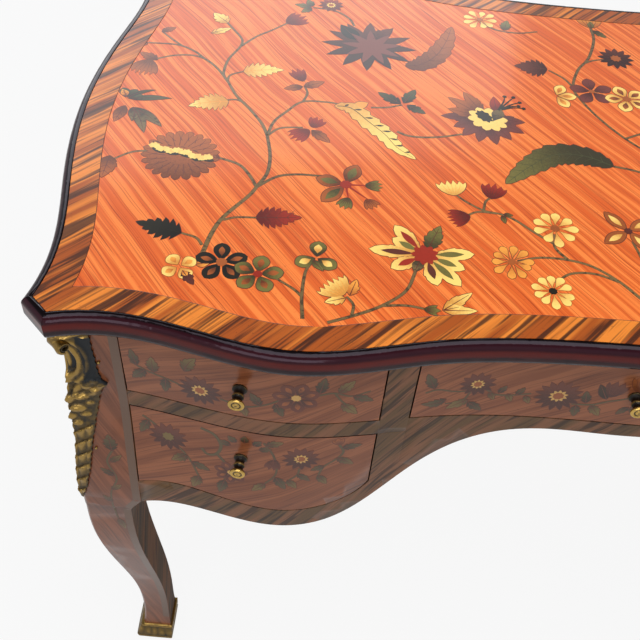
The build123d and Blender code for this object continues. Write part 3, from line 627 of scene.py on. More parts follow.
def dress_leg(corner, face_wood, inner_wood):
    """A leg whose outer faces are rosy tulipwood and whose inner faces are kingwood."""
    end, side = CORNERS[corner]
    bm = merged_copy(f"leg_{corner}")
    for face in bm.faces:
        inwards = max(-end * face.normal.x, -side * face.normal.y)
        face.material_index = 1 if inwards > FACING else 0
    piece = finish_mesh(f"leg_veneer_{corner}", bm, [face_wood, inner_wood], SOFT_WOOD)
    settle(piece, "carcass", "kingwood", f"leg_{corner}")


FRAME_NODES = (
    "apron_left", "apron_centre", "apron_right", "mid_rail_left", "mid_rail_right", "divider_left",
    "divider_right", "top_rail", "side_panel_left", "side_panel_right", "back_panel",
)
# How the names of the oak nodes start or end.
INSIDE_STARTS = ("top_board", "partition", "dust_board", "runners", "corner_blocks")
INSIDE_ENDS = ("_drawer_sides", "_drawer_back", "_drawer_bottom")


class DESK_OT_veneers(bpy.types.Operator):
    """Dresses the top, the carcass, the drawers and the inside in their woods"""

    bl_idname = "desk.veneers"
    bl_label = "Veneers"

    def execute(self, context):
        made = build_materials()
        sink = finish().field_sink
        bm = merged_copy("top_field_veneer")
        high = max(v.co.z for v in bm.verts)
        for v in bm.verts:
            if v.co.z > high - FLUSH:
                v.co.z -= sink
        field = finish_mesh("tulipwood_field", bm, [made["field"]])
        settle(field, "carcass", "field_veneer", "top_field_veneer")
        dress("top_cross_banding", made["banding"], "banding_veneer")
        dress("top_edge_moulding", made["edge"], "edge_wood")
        for node in FRAME_NODES:
            dress(node, made["frame_wood"], "kingwood")
        for corner in CORNERS:
            dress_leg(corner, made["leg_wood"], made["inner_wood"])
        for drawer in DRAWERS:
            front = f"{drawer}_drawer_front"
            # the sides of each front are dark rosewood: painted shade for the gaps round the drawer
            dress(front, made["drawer_wood"], "drawer_veneer", f"drawer_{drawer}", edge=made["rosewood"])
        for name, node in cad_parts.items():
            if name.startswith(INSIDE_STARTS) or name.endswith(INSIDE_ENDS):
                node.data.materials.clear()
                node.data.materials.append(made["oak"])
        return {"FINISHED"}


# ---------------------------------------------------------------- marquetry: outlines
# A pattern is drawn on a plane in millimetres, a point being x + y * 1j.
def unit(angle):
    """The unit step in a direction, its angle in radians."""
    return complex(math.cos(angle), math.sin(angle))


def axes(base, tip):
    """The step from base to tip, and the unit step to its left."""
    axis = tip - base
    return axis, 1j * axis / abs(axis)


def curve(points, steps=6):
    """Points along a smooth curve through a few points."""
    ends = [2 * points[0] - points[1], *points, 2 * points[-1] - points[-2]]
    out = []
    for a, b, c, d in zip(ends, ends[1:], ends[2:], ends[3:]):
        for step in range(steps):
            t = step / steps
            square, cube = 2 * a - 5 * b + 4 * c - d, 3 * b - a - 3 * c + d
            out.append(0.5 * (2 * b + (c - a) * t + square * t**2 + cube * t**3))
    return out + [points[-1]]


def ribbon(line, start, end):
    """Outline of a strip along a line of points, its width running from start to end."""
    left, right = [], []
    for i, point in enumerate(line):
        along = line[min(i + 1, len(line) - 1)] - line[max(i - 1, 0)]
        half = along / abs(along) * 0.5j * (start + (end - start) * i / (len(line) - 1))
        left.append(point + half)
        right.append(point - half)
    return left + right[::-1]


BLADE_STEPS = 12


def blade(base, tip, width, teeth=0, bite=0.3, bow=0.0, widest=0.5, blunt=1.0):
    """Outline of a leaf or petal; bow bends it sideways, teeth cut its margins."""
    axis, side = axes(base, tip)
    turn = math.log(0.5) / math.log(widest)
    stations = [(i / BLADE_STEPS, 1.0) for i in range(1, BLADE_STEPS)]
    if teeth:
        stations = []
        for tooth in range(teeth):
            for share, out in ((0.08, 1 - bite), (0.5, 1 - bite * 0.45), (1.0, 1.0)):
                stations.append(((tooth + share) / (teeth + 0.35), out))
    left, right = [base], []
    for t, out in stations:
        half = width / 2 * math.sin(math.pi * t**turn) ** blunt * out
        middle = base + axis * t + 4 * t * (1 - t) * bow * side
        left.append(middle + side * half)
        right.append(middle - side * half)
    return left + [tip] + right[::-1]


def burst(centre, inner, outer, points, turn=0.0, pinch=1.0, stretch=1.0, tilt=0.0):
    """Outline of a star or scalloped disc: it swings between two radii."""
    out = []
    count = points * 6
    for i in range(count):
        phase = abs(((i / 6) % 1.0) - 0.5) * 2
        radius = inner + (outer - inner) * (1 - phase) ** pinch
        angle = turn + math.tau * i / count
        spoke = radius * complex(math.cos(angle), math.sin(angle) * stretch)
        out.append(centre + spoke * unit(tilt))
    return out


def fan(base, tip, width, teeth):
    """Outline of a flower seen from the side: a cup with a jagged rim."""
    axis, side = axes(base, tip)
    side = side * width / 2
    cup = ((0.0, 0.10), (0.10, 0.42), (0.28, 0.74), (0.48, 0.92), (0.62, 1.0))
    left = [base + axis * t + side * w for t, w in cup]
    right = [base + axis * t - side * w for t, w in cup]
    rim = []
    for i in range(teeth * 2 - 1):
        w = 1 - 2 * i / (teeth * 2 - 2)
        reach = 1.0 - 0.22 * abs(w) if i % 2 == 0 else 0.66
        rim.append(base + axis * reach + side * w)
    return left + rim + right[::-1]


def grown(outline, amount):
    """The outline moved outwards by amount."""
    area = sum((a.conjugate() * b).imag for a, b in zip(outline, outline[1:] + outline[:1]))
    out = []
    for i, point in enumerate(outline):
        before = point - outline[i - 1]
        after = outline[(i + 1) % len(outline)] - point
        along = before / (abs(before) or 1) + after / (abs(after) or 1)
        if abs(along) < 0.2:  # a spike, whose two sides run back on each other
            along = 1j * before / (abs(before) or 1)
        out.append(point - 1j * math.copysign(amount, area) * along / abs(along))
    return out


# ---------------------------------------------------------------- marquetry: cutting
class Pattern:
    """Pieces of cut veneer: outline, wood, level, sand shading from base to tip, tone.

    Points are in millimetres, and level 0 is laid first. The pieces are staggered in the order in which they
    are cut, so a new piece goes at the end of its pattern.
    """

    def __init__(self, seed):
        self.pieces = []
        self.random = random.Random(seed)

    def cut(self, outline, wood, level, base=None, tip=None):
        """One piece of veneer; it is shaded from base to tip."""
        self.pieces.append((outline, wood, level, base, tip, self.random.random()))

    def shifted(self, by):
        """The same pieces, moved."""
        out = Pattern(0)
        for outline, wood, level, base, tip, tone in self.pieces:
            ends = [None if spot is None else spot + by for spot in (base, tip)]
            out.pieces.append(([spot + by for spot in outline], wood, level, *ends, tone))
        return out

    def edged(self, outline, wood, level=1, base=None, tip=None, rim="rosewood", grow=0.8):
        """A piece with a thin dark line all round it."""
        self.cut(grown(outline, grow), rim, level)
        self.cut(outline, wood, level + 1, base, tip)

    def stem(self, points, start=3.4, end=2.4):
        """A stem with a dark line along both sides."""
        line = curve(points)
        self.cut(ribbon(line, start + 0.7, end + 0.6), "rosewood", 0)
        self.cut(ribbon(line, start, end), "stem", 1)

    def vein(self, points, width=0.9, wood="rosewood", level=3):
        """A fine line that tapers to its end."""
        line = curve(points, 3)
        self.cut(ribbon(line, width, width * 0.4), wood, level)

    def leaf(self, base, tip, width, wood, teeth=5, bite=0.34, bow=0.0, widest=0.42, veins=3,
             vein_wood="rosewood"):
        """A toothed leaf with its spine and pairs of side veins."""
        self.edged(blade(base, tip, width, teeth, bite, bow, widest), wood, 1, base, tip)
        axis, side = axes(base, tip)

        def spine(t):
            return base + axis * t + 4 * t * (1 - t) * bow * side

        self.vein([spine(t) for t in (0.02, 0.3, 0.6, 0.88)], 1.1, vein_wood)
        for i in range(veins):
            root = spine(0.18 + 0.5 * i / max(veins - 1, 1))
            for hand in (-1, 1):
                self.vein([root, root + axis * 0.10 + side * hand * width * 0.20,
                           root + axis * 0.17 + side * hand * width * 0.32], 0.7, vein_wood)

    def cup(self, base, tip, width, wood, teeth=5, vein_wood="rosewood"):
        """A flower seen from the side."""
        self.edged(fan(base, tip, width, teeth), wood, 1, base, tip)
        axis, side = axes(base, tip)
        side = side * width / 2
        for w in (-0.62, -0.3, 0.0, 0.3, 0.62):
            self.vein([base + axis * 0.15 + side * w * 0.4, base + axis * 0.45 + side * w * 0.8,
                       base + axis * 0.7 + side * w], 0.7, vein_wood)

    def petals(self, centre, count, inner, outer, width, wood, turn=0.0, heart=None, spread=360.0,
               blunt=0.75, heart_width=0.42, rim="rosewood"):
        """A ring of petals; heart is a sliver of another wood down each of them."""
        for i in range(count):
            ray = unit(math.radians(turn + spread * i / count))
            base, tip = centre + ray * inner, centre + ray * outer
            self.edged(blade(base, tip, width, widest=0.6, blunt=blunt), wood, 1, base, tip, rim)
            if heart:
                start, stop = base + (tip - base) * 0.2, base + (tip - base) * 0.8
                self.cut(blade(start, stop, width * heart_width, widest=0.55), heart, 3, start, stop)
            else:
                self.vein([base, (base + tip) / 2, base + (tip - base) * 0.75], 0.8)

    def eye(self, centre, radius, wood):
        """The round middle of a flower."""
        self.cut(burst(centre, radius * 0.85, radius, 8), wood, 5)

    def daisy(self, centre, radius, wood, core="walnut", count=11, turn=0.0, rim="walnut"):
        """An open flower with many slim, uneven petals."""
        for i in range(count):
            ray = unit(math.radians(turn + 360 * i / count + self.random.uniform(-5, 5)))
            tip = centre + ray * (radius * self.random.uniform(0.86, 1.05))
            outline = blade(centre + ray * radius * 0.15, tip, radius * 0.37, widest=0.76, blunt=0.7)
            self.edged(outline, wood, 1, centre, tip, rim, 0.6)
        self.eye(centre, radius * 0.2, core)

    def star(self, centre, radius, wood, points=15, ring="boxwood", heart=None):
        """A round dark flower with pointed petals and a pale scalloped ring, or a heart instead of the ring."""
        outline = burst(centre, radius * 0.66, radius, points, 0.2, 1.2)
        self.edged(outline, wood, 1, centre - radius * 0.3j, centre + radius * 1j)
        for i in range(points):
            ray = unit(0.2 + math.tau * (i + 0.5) / points)
            self.vein([centre + ray * radius * share for share in (0.35, 0.5, 0.66)], 0.6)
        if ring:
            self.cut(burst(centre, radius * 0.26, radius * 0.40, 10), ring, 4)
            self.cut(burst(centre, radius * 0.20, radius * 0.24, 8), "walnut", 5)
        elif heart:
            self.cut(burst(centre, radius * 0.24, radius * 0.32, 8), heart, 4)

    def sprig(self, root, heading, size, wood, count=3, spread=55.0):
        """A few small leaves from one point."""
        for i in range(count):
            ray = unit(math.radians(heading + spread * (i - (count - 1) / 2)))
            reach = size * (1.0 if i == (count - 1) // 2 else 0.82)
            self.leaf(root + ray * size * 0.12, root + ray * reach, size * 0.46, wood, 3, 0.3, veins=0)

    def long_leaf(self, points, width, wood, lobes, bite=0.3, vein_wood="dark_green", feather=False):
        """A long leaf along a curved spine with lobed margins."""
        line = curve(points, max(2, lobes * 4 // (len(points) - 1)))
        left, right = [], []
        count = len(line) - 1
        for i, point in enumerate(line):
            t = i / count
            along = line[min(i + 1, count)] - line[max(i - 1, 0)]
            side = 1j * along / abs(along)
            half = width / 2 * math.sin(math.pi * min(max(t, 0.001), 0.999) ** 0.8) ** 0.6
            half *= 1 - bite * (1 - (t * lobes) % 1.0)
            left.append(point + side * half)
            right.append(point - side * half)
        self.edged(left + right[::-1], wood, 1, points[0], points[-1])
        self.vein(line[1:-1:3] if len(line) > 9 else line[1:-1], 1.2, vein_wood)
        for i in range(1, lobes):
            at = line[min(count - 2, round(i / lobes * count))]
            ahead = line[min(count, round(i / lobes * count) + 2)] - at
            ahead /= abs(ahead)
            for hand in (-1, 1):
                reach = width * 0.34 * math.sin(math.pi * i / lobes) ** 0.5
                end = at + (ahead * 0.8 + 1j * hand * ahead) * reach
                if feather and hand > 0:
                    self.cut(blade(at, end, 3.2, widest=0.6), vein_wood, 3)
                elif not feather:
                    self.vein([at, (at + end) / 2 + ahead * 0.6, end], 0.7, vein_wood)


# Pieces of one level are staggered in this many steps, each this part of a level, so that no two lie flush.
STAGGER_STEPS, STAGGER_PART = 16, 18


def lay(name, pattern, woods, place, scale=1.0, mesh_size=None, flips=(False,), turned=False):
    """Turns a pattern into one thin closed mesh. place(x, y, height) gives a point on the desk.

    mesh_size is the longest side, in millimetres, of a triangle that has to follow a curved face. flips says
    for each time that it is laid whether it is mirrored; turned says that place itself is a mirror image.
    """
    verts, faces, wood_of, shades = [], [], [], []
    step = finish().inlay_step
    for number, (outline, wood, level, base, tip, tone) in enumerate(pattern.pieces):
        lift = number % STAGGER_STEPS / STAGGER_PART
        reach = [point * scale for point in outline]
        corners = []
        for a, b in zip(reach, reach[1:] + reach[:1]):
            parts = 1 if not mesh_size else max(1, math.ceil(abs(b - a) / mesh_size))
            corners += [a + (b - a) * i / parts for i in range(parts)]
        points = [Vector((p.real, p.imag)) for p in corners]
        ring = [list(range(len(points)))]
        if mesh_size:
            low_x, high_x = min(p.x for p in points), max(p.x for p in points)
            low_y, high_y = min(p.y for p in points), max(p.y for p in points)
            for i in range(1, int((high_x - low_x) / mesh_size) + 1):
                for j in range(1, int((high_y - low_y) / mesh_size) + 1):
                    points.append(Vector((low_x + i * mesh_size, low_y + j * mesh_size)))
        flat, _, tris, _, _, _ = delaunay_2d_cdt(points, [], ring, 1, 1e-5)
        edges = {}
        for tri in tris:
            for a, b in zip(tri, tri[1:] + tri[:1]):
                edges[(a, b)] = edges.get((a, b), 0) + 1
        used = sorted({i for tri in tris for i in tri})
        order = {old: new for new, old in enumerate(used)}
        count = len(used)
        for flip in flips:
            side = -1 if flip else 1
            start = len(verts)
            for height in (step * (level + lift + 1), -step * (2 + lift)):
                for i in used:
                    verts.append(place(side * flat[i].x * MM, flat[i].y * MM, height))
            for i in used + used:
                spot = complex(*flat[i]) / scale
                shade = 0.75
                if base is not None:
                    shade = ((spot - base) * (tip - base).conjugate()).real / abs(tip - base) ** 2
                shades.append((min(max(shade, 0.0), 1.0), tone, 0.0, 1.0))
            made = []
            for a, b, c in tris:
                a, b, c = order[a], order[b], order[c]
                made += [(a, b, c), (a + count, c + count, b + count)]
            for a, b in edges:
                if (b, a) not in edges:
                    a, b = order[a], order[b]
                    made.append((b, a, a + count, b + count))
            for face in made:
                face = [start + i for i in face]
                faces.append(face[::-1] if flip != turned else face)
                wood_of.append(WOODS.index(wood))
    mesh = bpy.data.meshes.new(name)
    mesh.from_pydata(verts, [], faces)
    for wood in WOODS:
        mesh.materials.append(woods[wood])
    mesh.polygons.foreach_set("material_index", wood_of)
    shade = mesh.attributes.new("shade", "FLOAT_COLOR", "POINT")
    shade.data.foreach_set("color", [c for colour in shades for c in colour])
    mesh.validate()
    return new_piece(name, mesh)


# ---------------------------------------------------------------- marquetry: the top
def draw_top_half(p):
    """Left half of the pattern of the top; it is laid again, mirrored, on the right."""
    for points, start, end in (
        ((-458 - 241j, -453 - 210j, -444 - 183j, -422 - 147j, -415 - 131j), 4.6, 3.8),
        ((-415 - 131j, -426 - 111j, -440 - 95j, -466 - 86j), 3.4, 3.0),
        ((-415 - 131j, -406 - 106j, -406 - 75j, -413 - 39j), 3.8, 3.4),
        ((-413 - 39j, -422 - 17j, -440 + 10j, -458 + 33j, -473 + 62j, -489 + 87j, -507 + 105j, -525 + 111j,
          -548 + 107j, -570 + 95j), 3.4, 2.4),
        ((-473 + 62j, -480 + 78j, -478 + 109j, -467 + 140j, -467 + 158j, -480 + 179j, -492 + 196j), 3.0, 2.4),
        ((-467 + 140j, -449 + 167j, -431 + 185j, -412 + 206j), 2.8, 2.2),
        ((-473 + 62j, -471 + 75j, -455 + 86j), 2.6, 2.2),
        ((-507 + 105j, -525 + 122j, -548 + 132j, -584 + 131j), 2.8, 2.2),
        ((-540 + 130j, -557 + 145j, -572 + 160j), 2.4, 2.0),
        ((-413 - 39j, -408 - 12j, -395 + 10j, -377 + 33j, -346 + 36j, -334 + 34j), 3.2, 2.4),
        ((-377 + 33j, -373 + 51j, -378 + 66j), 2.6, 2.2),
        ((-413 - 39j, -399 - 23j, -373 - 18j), 3.0, 2.2),
        ((-415 - 131j, -395 - 111j, -373 - 104j, -346 - 103j), 3.4, 2.6),
        ((-444 - 188j, -430 - 182j, -408 - 180j), 2.8, 2.2),
        ((-460 - 228j, -468 - 218j, -484 - 213j), 2.8, 2.4),
        ((-262 - 10j, -250 - 16j, -233 - 17j, -210 - 13j, -184 - 4j), 3.0, 2.4),
        ((-294 + 33j, -275 + 36j, -256 + 44j), 2.6, 2.2),
        ((-538 - 84j, -560 - 90j, -577 - 104j), 3.0, 2.2),
        ((-446 + 20j, -458 + 25j, -470 + 22j), 2.6, 2.2),
        ((-350 - 316j, -353 - 286j, -352 - 254j, -346 - 238j), 3.4, 2.4),
        ((-352 - 288j, -362 - 278j, -380 - 266j), 2.8, 2.2),
        ((-326 - 318j, -301 - 306j, -274 - 290j, -251 - 268j, -242 - 243j, -238 - 223j), 3.2, 3.0),
        ((-303 - 306j, -302 - 292j, -309 - 282j), 2.8, 2.2),
        ((-274 - 290j, -250 - 287j, -228 - 290j), 2.8, 2.4),
        ((0 - 262j, -13 - 250j, -31 - 229j, -56 - 210j, -81 - 203j, -110 - 203j, -135 - 211j), 3.4, 2.4),
        ((-81 - 203j, -93 - 186j, -92 - 165j), 3.0, 2.4),
        ((-94 - 180j, -112 - 166j, -130 - 150j, -146 - 141j, -166 - 137j, -186 - 124j, -196 - 114j), 2.8, 2.2),
        ((-166 - 137j, -163 - 122j, -156 - 114j), 2.6, 2.2),
        ((-152 - 140j, -172 - 140j, -184 - 147j), 2.6, 2.2),
        ((-31 - 229j, -56 - 220j, -81 - 223j, -98 - 238j), 2.8, 2.4),
        ((-322 + 214j, -330 + 232j, -350 + 248j, -380 + 252j), 2.8, 2.2),
    ):
        p.stem(points, start, end)
    # the big scalloped flower and its bud
    p.edged(burst(-506 - 88j, 36, 44, 21, 0.1, 0.5, 0.98), "walnut", 1, -506 - 150j, -506 - 40j)
    root = -506 - 88j
    for i in range(42):
        ray = unit(math.tau * i / 42)
        bend = ray * 1j * (2 if i % 2 else -2)
        p.vein([root + ray * (26 if i % 2 else 17), root + ray * 30 + bend, root + ray * 39])
    heart = curve([-540 - 75j, -522 - 81j, -503 - 82j, -486 - 89j, -470 - 88j], 6)
    p.cut(ribbon([spot + 1.5 * math.sin(i * 1.3) * 1j for i, spot in enumerate(heart)], 15, 13), "ebony", 4)
    p.cut(ribbon([spot + 5j for spot in heart], 5, 4), "walnut", 5)
    for i, spot in enumerate(heart[:-1]):
        wave = spot + 1.6 * math.sin(i * 1.5) * 1j
        p.cut(burst(wave, 3.4, 4.6 + 0.9 * math.sin(i * 2.1), 5, i), "boxwood", 6)
    p.leaf(-462 - 88j, -476 - 86j, 12, "walnut", 0)
    p.leaf(-583 - 100j, -584 - 138j, 24, "walnut", 4, 0.2)
    # small flowers on the branches
    p.leaf(-466 + 20j, -512 + 4j, 36, "boxwood", 7, 0.45, bow=-3, widest=0.34, veins=3, vein_wood="satinwood")
    p.leaf(-456 + 85j, -406 + 96j, 33, "boxwood", 7, 0.45, bow=2, widest=0.34, veins=3, vein_wood="satinwood")
    p.cup(-380 + 76j, -394 + 102j, 20, "padouk", 4)
    p.leaf(-378 + 64j, -354 + 78j, 15, "walnut", 3, 0.2, veins=1)
    p.leaf(-380 + 64j, -402 + 56j, 13, "walnut", 3, 0.2, veins=1)
    p.cup(-362 - 16j, -354 + 4j, 20, "padouk", 4)
    p.cup(-366 - 22j, -386 - 42j, 24, "padouk", 5)
    p.leaf(-362 - 22j, -340 - 42j, 15, "walnut", 3, 0.25, veins=1)
    p.cup(-575 + 93j, -582 + 58j, 36, "walnut", 7)
    p.leaf(-566 + 94j, -590 + 108j, 16, "walnut", 3, veins=1)
    p.leaf(-585 + 131j, -598 + 122j, 10, "walnut", 3, veins=0)
    p.leaf(-572 + 160j, -556 + 172j, 12, "walnut", 3, veins=0)
    p.leaf(-490 + 194j, -512 + 216j, 22, "boxwood", 4, veins=1)
    p.cup(-412 + 206j, -388 + 228j, 30, "padouk", 5)
    p.leaf(-508 + 166j, -484 + 182j, 14, "boxwood", 3, veins=1)
    # lily spray at the left edge
    p.petals(-588 + 8j, 3, 3, 22, 12, "dark_green", 20, spread=130)
    p.leaf(-582 + 8j, -534 + 16j, 10, "dark_green", 0, bow=2, veins=0)
    p.leaf(-584 + 12j, -556 + 30j, 6, "dark_green", 0, bow=3, veins=0)
    p.leaf(-588 + 14j, -596 + 26j, 10, "satinwood", 0)
    p.leaf(-586 - 6j, -592 - 38j, 14, "walnut", 0)
    for tip in (-536 - 40j, -554 - 54j, -572 - 34j):
        p.leaf(-576 - 8j, tip, 13, "stem", 0, bow=2, veins=1)
    # leaves and flowers near the front corner
    p.leaf(-484 - 213j, -533 - 202j, 34, "ebony", 6, 0.46, widest=0.36, veins=0, vein_wood="ebony")
    p.leaf(-410 - 180j, -362 - 174j, 34, "padouk", 7, 0.42, widest=0.34)
    p.petals(-437 - 250j, 5, 4, 27, 16, "ebony", 96, "walnut", blunt=0.6, heart_width=0.4, rim="ebony")
    p.eye(-437 - 250j, 6, "walnut")
    p.petals(-399 - 262j, 5, 4, 26, 17, "green", 84, "walnut", blunt=0.65)
    p.eye(-399 - 262j, 5, "padouk")
    p.petals(-478 - 261j, 4, 3, 19, 15, "boxwood", 130, "satinwood", blunt=0.65, rim="walnut")
    p.leaf(-474 - 266j, -460 - 284j, 12, "rosewood", 3, veins=0)
    p.leaf(-462 - 256j, -448 - 252j, 10, "satinwood", 0, veins=0)
    p.petals(-342 - 232j, 3, 2, 24, 17, "green", -32, "boxwood", blunt=0.65, heart_width=0.5)
    p.leaf(-346 - 236j, -334 - 250j, 8, "green", 0, veins=0)
    p.cup(-312 - 280j, -330 - 262j, 36, "boxwood", 7, "satinwood")
    p.leaf(-310 - 284j, -330 - 292j, 14, "boxwood", 3, veins=0)
    p.leaf(-306 - 280j, -300 - 258j, 14, "satinwood", 3, veins=0)
    # green and brown flower with buds
    root = -318 - 114j
    for angle, length in ((72, 37), (168, 34), (232, 40)):
        ray = unit(math.radians(angle))
        tip = root + length * ray
        p.edged(blade(root + 4 * ray, tip, 19, widest=0.55, blunt=0.8), "walnut", 1, root, tip)
        p.cut(blade(root + 9 * ray, root + length * 0.86 * ray, 10, widest=0.5), "green", 3, root, tip)
    for tip in (-296 - 113j, -292 - 136j, -314 - 136j):
        p.vein([root, (root + tip) / 2, tip], 3.0, "padouk")
    p.eye(root, 7, "padouk")
    p.cup(-296 - 113j, -276 - 111j, 17, "green", 4)
    p.cup(-294 - 136j, -284 - 150j, 17, "walnut", 4)
    p.cup(-314 - 136j, -320 - 155j, 17, "green", 4)
    # cream fern, green sprig and daisy with black stamens
    p.long_leaf((-338 + 30j, -318 + 28j, -296 + 4j, -276 - 18j, -262 - 40j, -240 - 59j),
                29, "boxwood", 9, 0.34, "ebony", feather=True)
    p.edged(blade(-316 + 30j, -298 + 42j, 14, widest=0.5), "satinwood", 1)
    p.leaf(-258 + 46j, -286 + 66j, 18, "dark_green", 3, veins=1)
    p.leaf(-254 + 48j, -240 + 78j, 17, "dark_green", 3, veins=1)
    p.leaf(-250 + 44j, -228 + 30j, 15, "dark_green", 3, veins=1)
    root = -153 + 33j
    for angle, length in ((-176, 56), (-150, 47), (-128, 50), (-104, 50), (-80, 52), (-56, 48), (-30, 50),
                          (-4, 46), (118, 56), (142, 58), (166, 48)):
        ray = unit(math.radians(angle))
        wood = "purple" if angle < 0 else "walnut"
        p.leaf(root + ray * 12, root + ray * length, 20, wood, 3, 0.2, widest=0.4, veins=1)
    p.edged(burst(-152 + 30j, 20, 26, 10, 0.4, 0.6, 0.86, -0.6), "boxwood", 4, grow=1.0)
    p.cut(burst(-156 + 35j, 11, 14, 9, 0, 1.0, 0.62, -0.9), "ebony", 6)
    p.cut(blade(-146 + 26j, -134 + 52j, 16, widest=0.6), "stem", 6, -146 + 26j, -134 + 52j)
    for tip in (-128 + 80j, -117 + 80j, -110 + 70j, -106 + 58j, -112 + 62j):
        p.vein([-138 + 50j, (-132 + 58j + tip) / 2, tip], 3.0, "ebony", 6)
        p.cut(burst(tip, 2.2, 3.0, 5), "ebony", 6)
    p.leaf(-140 + 46j, -142 + 78j, 13, "padouk", 0, veins=0)
    # big cream flower with green and red slivers
    root = -231 - 214j
    for angle, length, sliver in (
        (178, 58, "rosewood"), (128, 52, "padouk"), (214, 42, "padouk"), (8, 52, "green"),
        (-22, 44, "green"), (-48, 54, "green"), (-74, 44, "rosewood"), (148, 40, "green"),
    ):
        ray = unit(math.radians(angle))
        tip = root + ray * length
        p.edged(blade(root + ray * 5, tip, 19, 3, 0.16, widest=0.6, blunt=0.75), "boxwood", 1, root, tip)
        p.cut(blade(root + ray * 10, root + ray * length * 0.8, 8, widest=0.55), sliver, 3)
    p.leaf(-228 - 206j, -214 - 168j, 20, "green", 4, 0.24, veins=2)
    p.cut(burst(root, 11, 15, 9), "padouk", 5)
    p.leaf(-236 - 222j, -242 - 240j, 12, "stem", 0, veins=0)
    # bud at the banding, cluster of small flowers, daisies
    p.cup(-232 - 290j, -216 - 290j, 13, "green", 3)
    for tip in (-184 - 262j, -180 - 286j, -196 - 282j):
        p.leaf(-214 - 289j, tip, 14, "boxwood", 3, 0.2, veins=0)
    p.cup(-197 - 116j, -202 - 90j, 34, "boxwood", 6, "satinwood")
    p.cup(-157 - 116j, -150 - 90j, 28, "padouk", 5)
    p.cup(-182 - 148j, -206 - 156j, 26, "padouk", 6)
    p.sprig(-146 - 141j, -40, 14, "green", 2, 80)
    p.daisy(-90 - 156j, 28, "boxwood", "walnut", 9)
    p.daisy(-141 - 213j, 24, "satinwood", "walnut", 10, 10, "rosewood")
    p.daisy(-102 - 250j, 24, "boxwood", "ebony", 10, 20)
    # dark flower at the back and the brown fern beside it
    p.edged(burst(-301 + 168j, 34, 62, 12, 0.25, 1.25, 0.92), "rosewood", 1, -301 + 120j, -301 + 230j)
    p.cut(burst(-297 + 166j, 18, 40, 9, 0.6, 1.4), "purple", 3)
    p.leaf(-316 + 180j, -340 + 214j, 22, "ebony", 0, veins=0)
    p.leaf(-296 + 186j, -272 + 214j, 22, "rosewood", 3, veins=1)
    p.long_leaf((-252 + 129j, -232 + 136j, -212 + 160j, -198 + 196j, -190 + 232j),
                34, "walnut", 8, 0.24, "rosewood")
    p.sprig(-380 + 252j, 170, 26, "green", 3)
    p.star(-356 + 262j, 17, "padouk", 11)
    p.daisy(-150 + 258j, 24, "boxwood", "walnut", 9)
    p.stem((-150 + 252j, -130 + 236j, -100 + 232j, -72 + 240j), 2.8, 2.2)
    p.leaf(-118 + 236j, -112 + 262j, 16, "green", 4, veins=1)


def draw_top_middle(p):
    """What lies across the middle of the top, and is not repeated."""
    p.stem((4 + 262j, 4 + 230j, -9 + 185j, -27 + 154j, -38 + 114j, -31 + 87j, -13 + 51j, 13 + 15j, 40 - 12j),
           3.6, 2.6)
    p.stem((-38 + 114j, -48 + 132j, -66 + 148j), 2.8, 2.2)
    p.stem((-16 + 172j, -4 + 180j, 14 + 186j), 2.8, 2.2)
    p.stem((-38 + 112j, -22 + 110j, -6 + 108j), 2.8, 2.2)
    p.stem((-10 - 40j, 18 - 46j, 44 - 60j, 62 - 84j), 3.2, 2.4)
    p.stem((0 - 262j, 0 - 240j, -2 - 196j, -8 - 166j), 3.0, 2.4)
    p.stem((13 + 15j, 40 + 30j, 66 + 34j), 2.8, 2.2)
    p.leaf(-68 + 150j, -110 + 152j, 40, "rosewood", 6, 0.36, widest=0.34)
    p.petals(-15 + 108j, 5, 3, 28, 16, "purple", 96)
    p.eye(-15 + 108j, 4, "walnut")
    p.petals(-62 + 92j, 3, 2, 26, 15, "boxwood", -60, "satinwood", spread=190)
    p.petals(28 + 98j, 5, 3, 28, 18, "boxwood", 40, "walnut")
    p.eye(28 + 98j, 6, "walnut")
    p.star(28 + 190j, 24, "rosewood", 12, None, heart="walnut")
    p.long_leaf((-10 - 40j, -40 - 26j, -76 - 28j, -108 - 54j, -138 - 88j), 42, "green", 11, 0.22)
    root = -10 - 150j
    for angle in (36, 128, 218, 306):
        ray = unit(math.radians(angle))
        p.edged(blade(root + 3 * ray, root + 36 * ray, 16, widest=0.5, blunt=0.8), "walnut", 1)
        p.cut(blade(root + 9 * ray, root + 30 * ray, 7, widest=0.5), "boxwood", 3, root, root + 30 * ray)
    p.eye(root, 5, "rosewood")
    p.cup(62 - 84j, 74 - 112j, 30, "padouk", 5)
    p.leaf(66 + 34j, 96 + 18j, 20, "green", 4, veins=1)
    p.cup(4 + 262j, 4 + 292j, 34, "satinwood", 6)
    p.sprig(4 + 258j, 20, 26, "green", 2, 130)


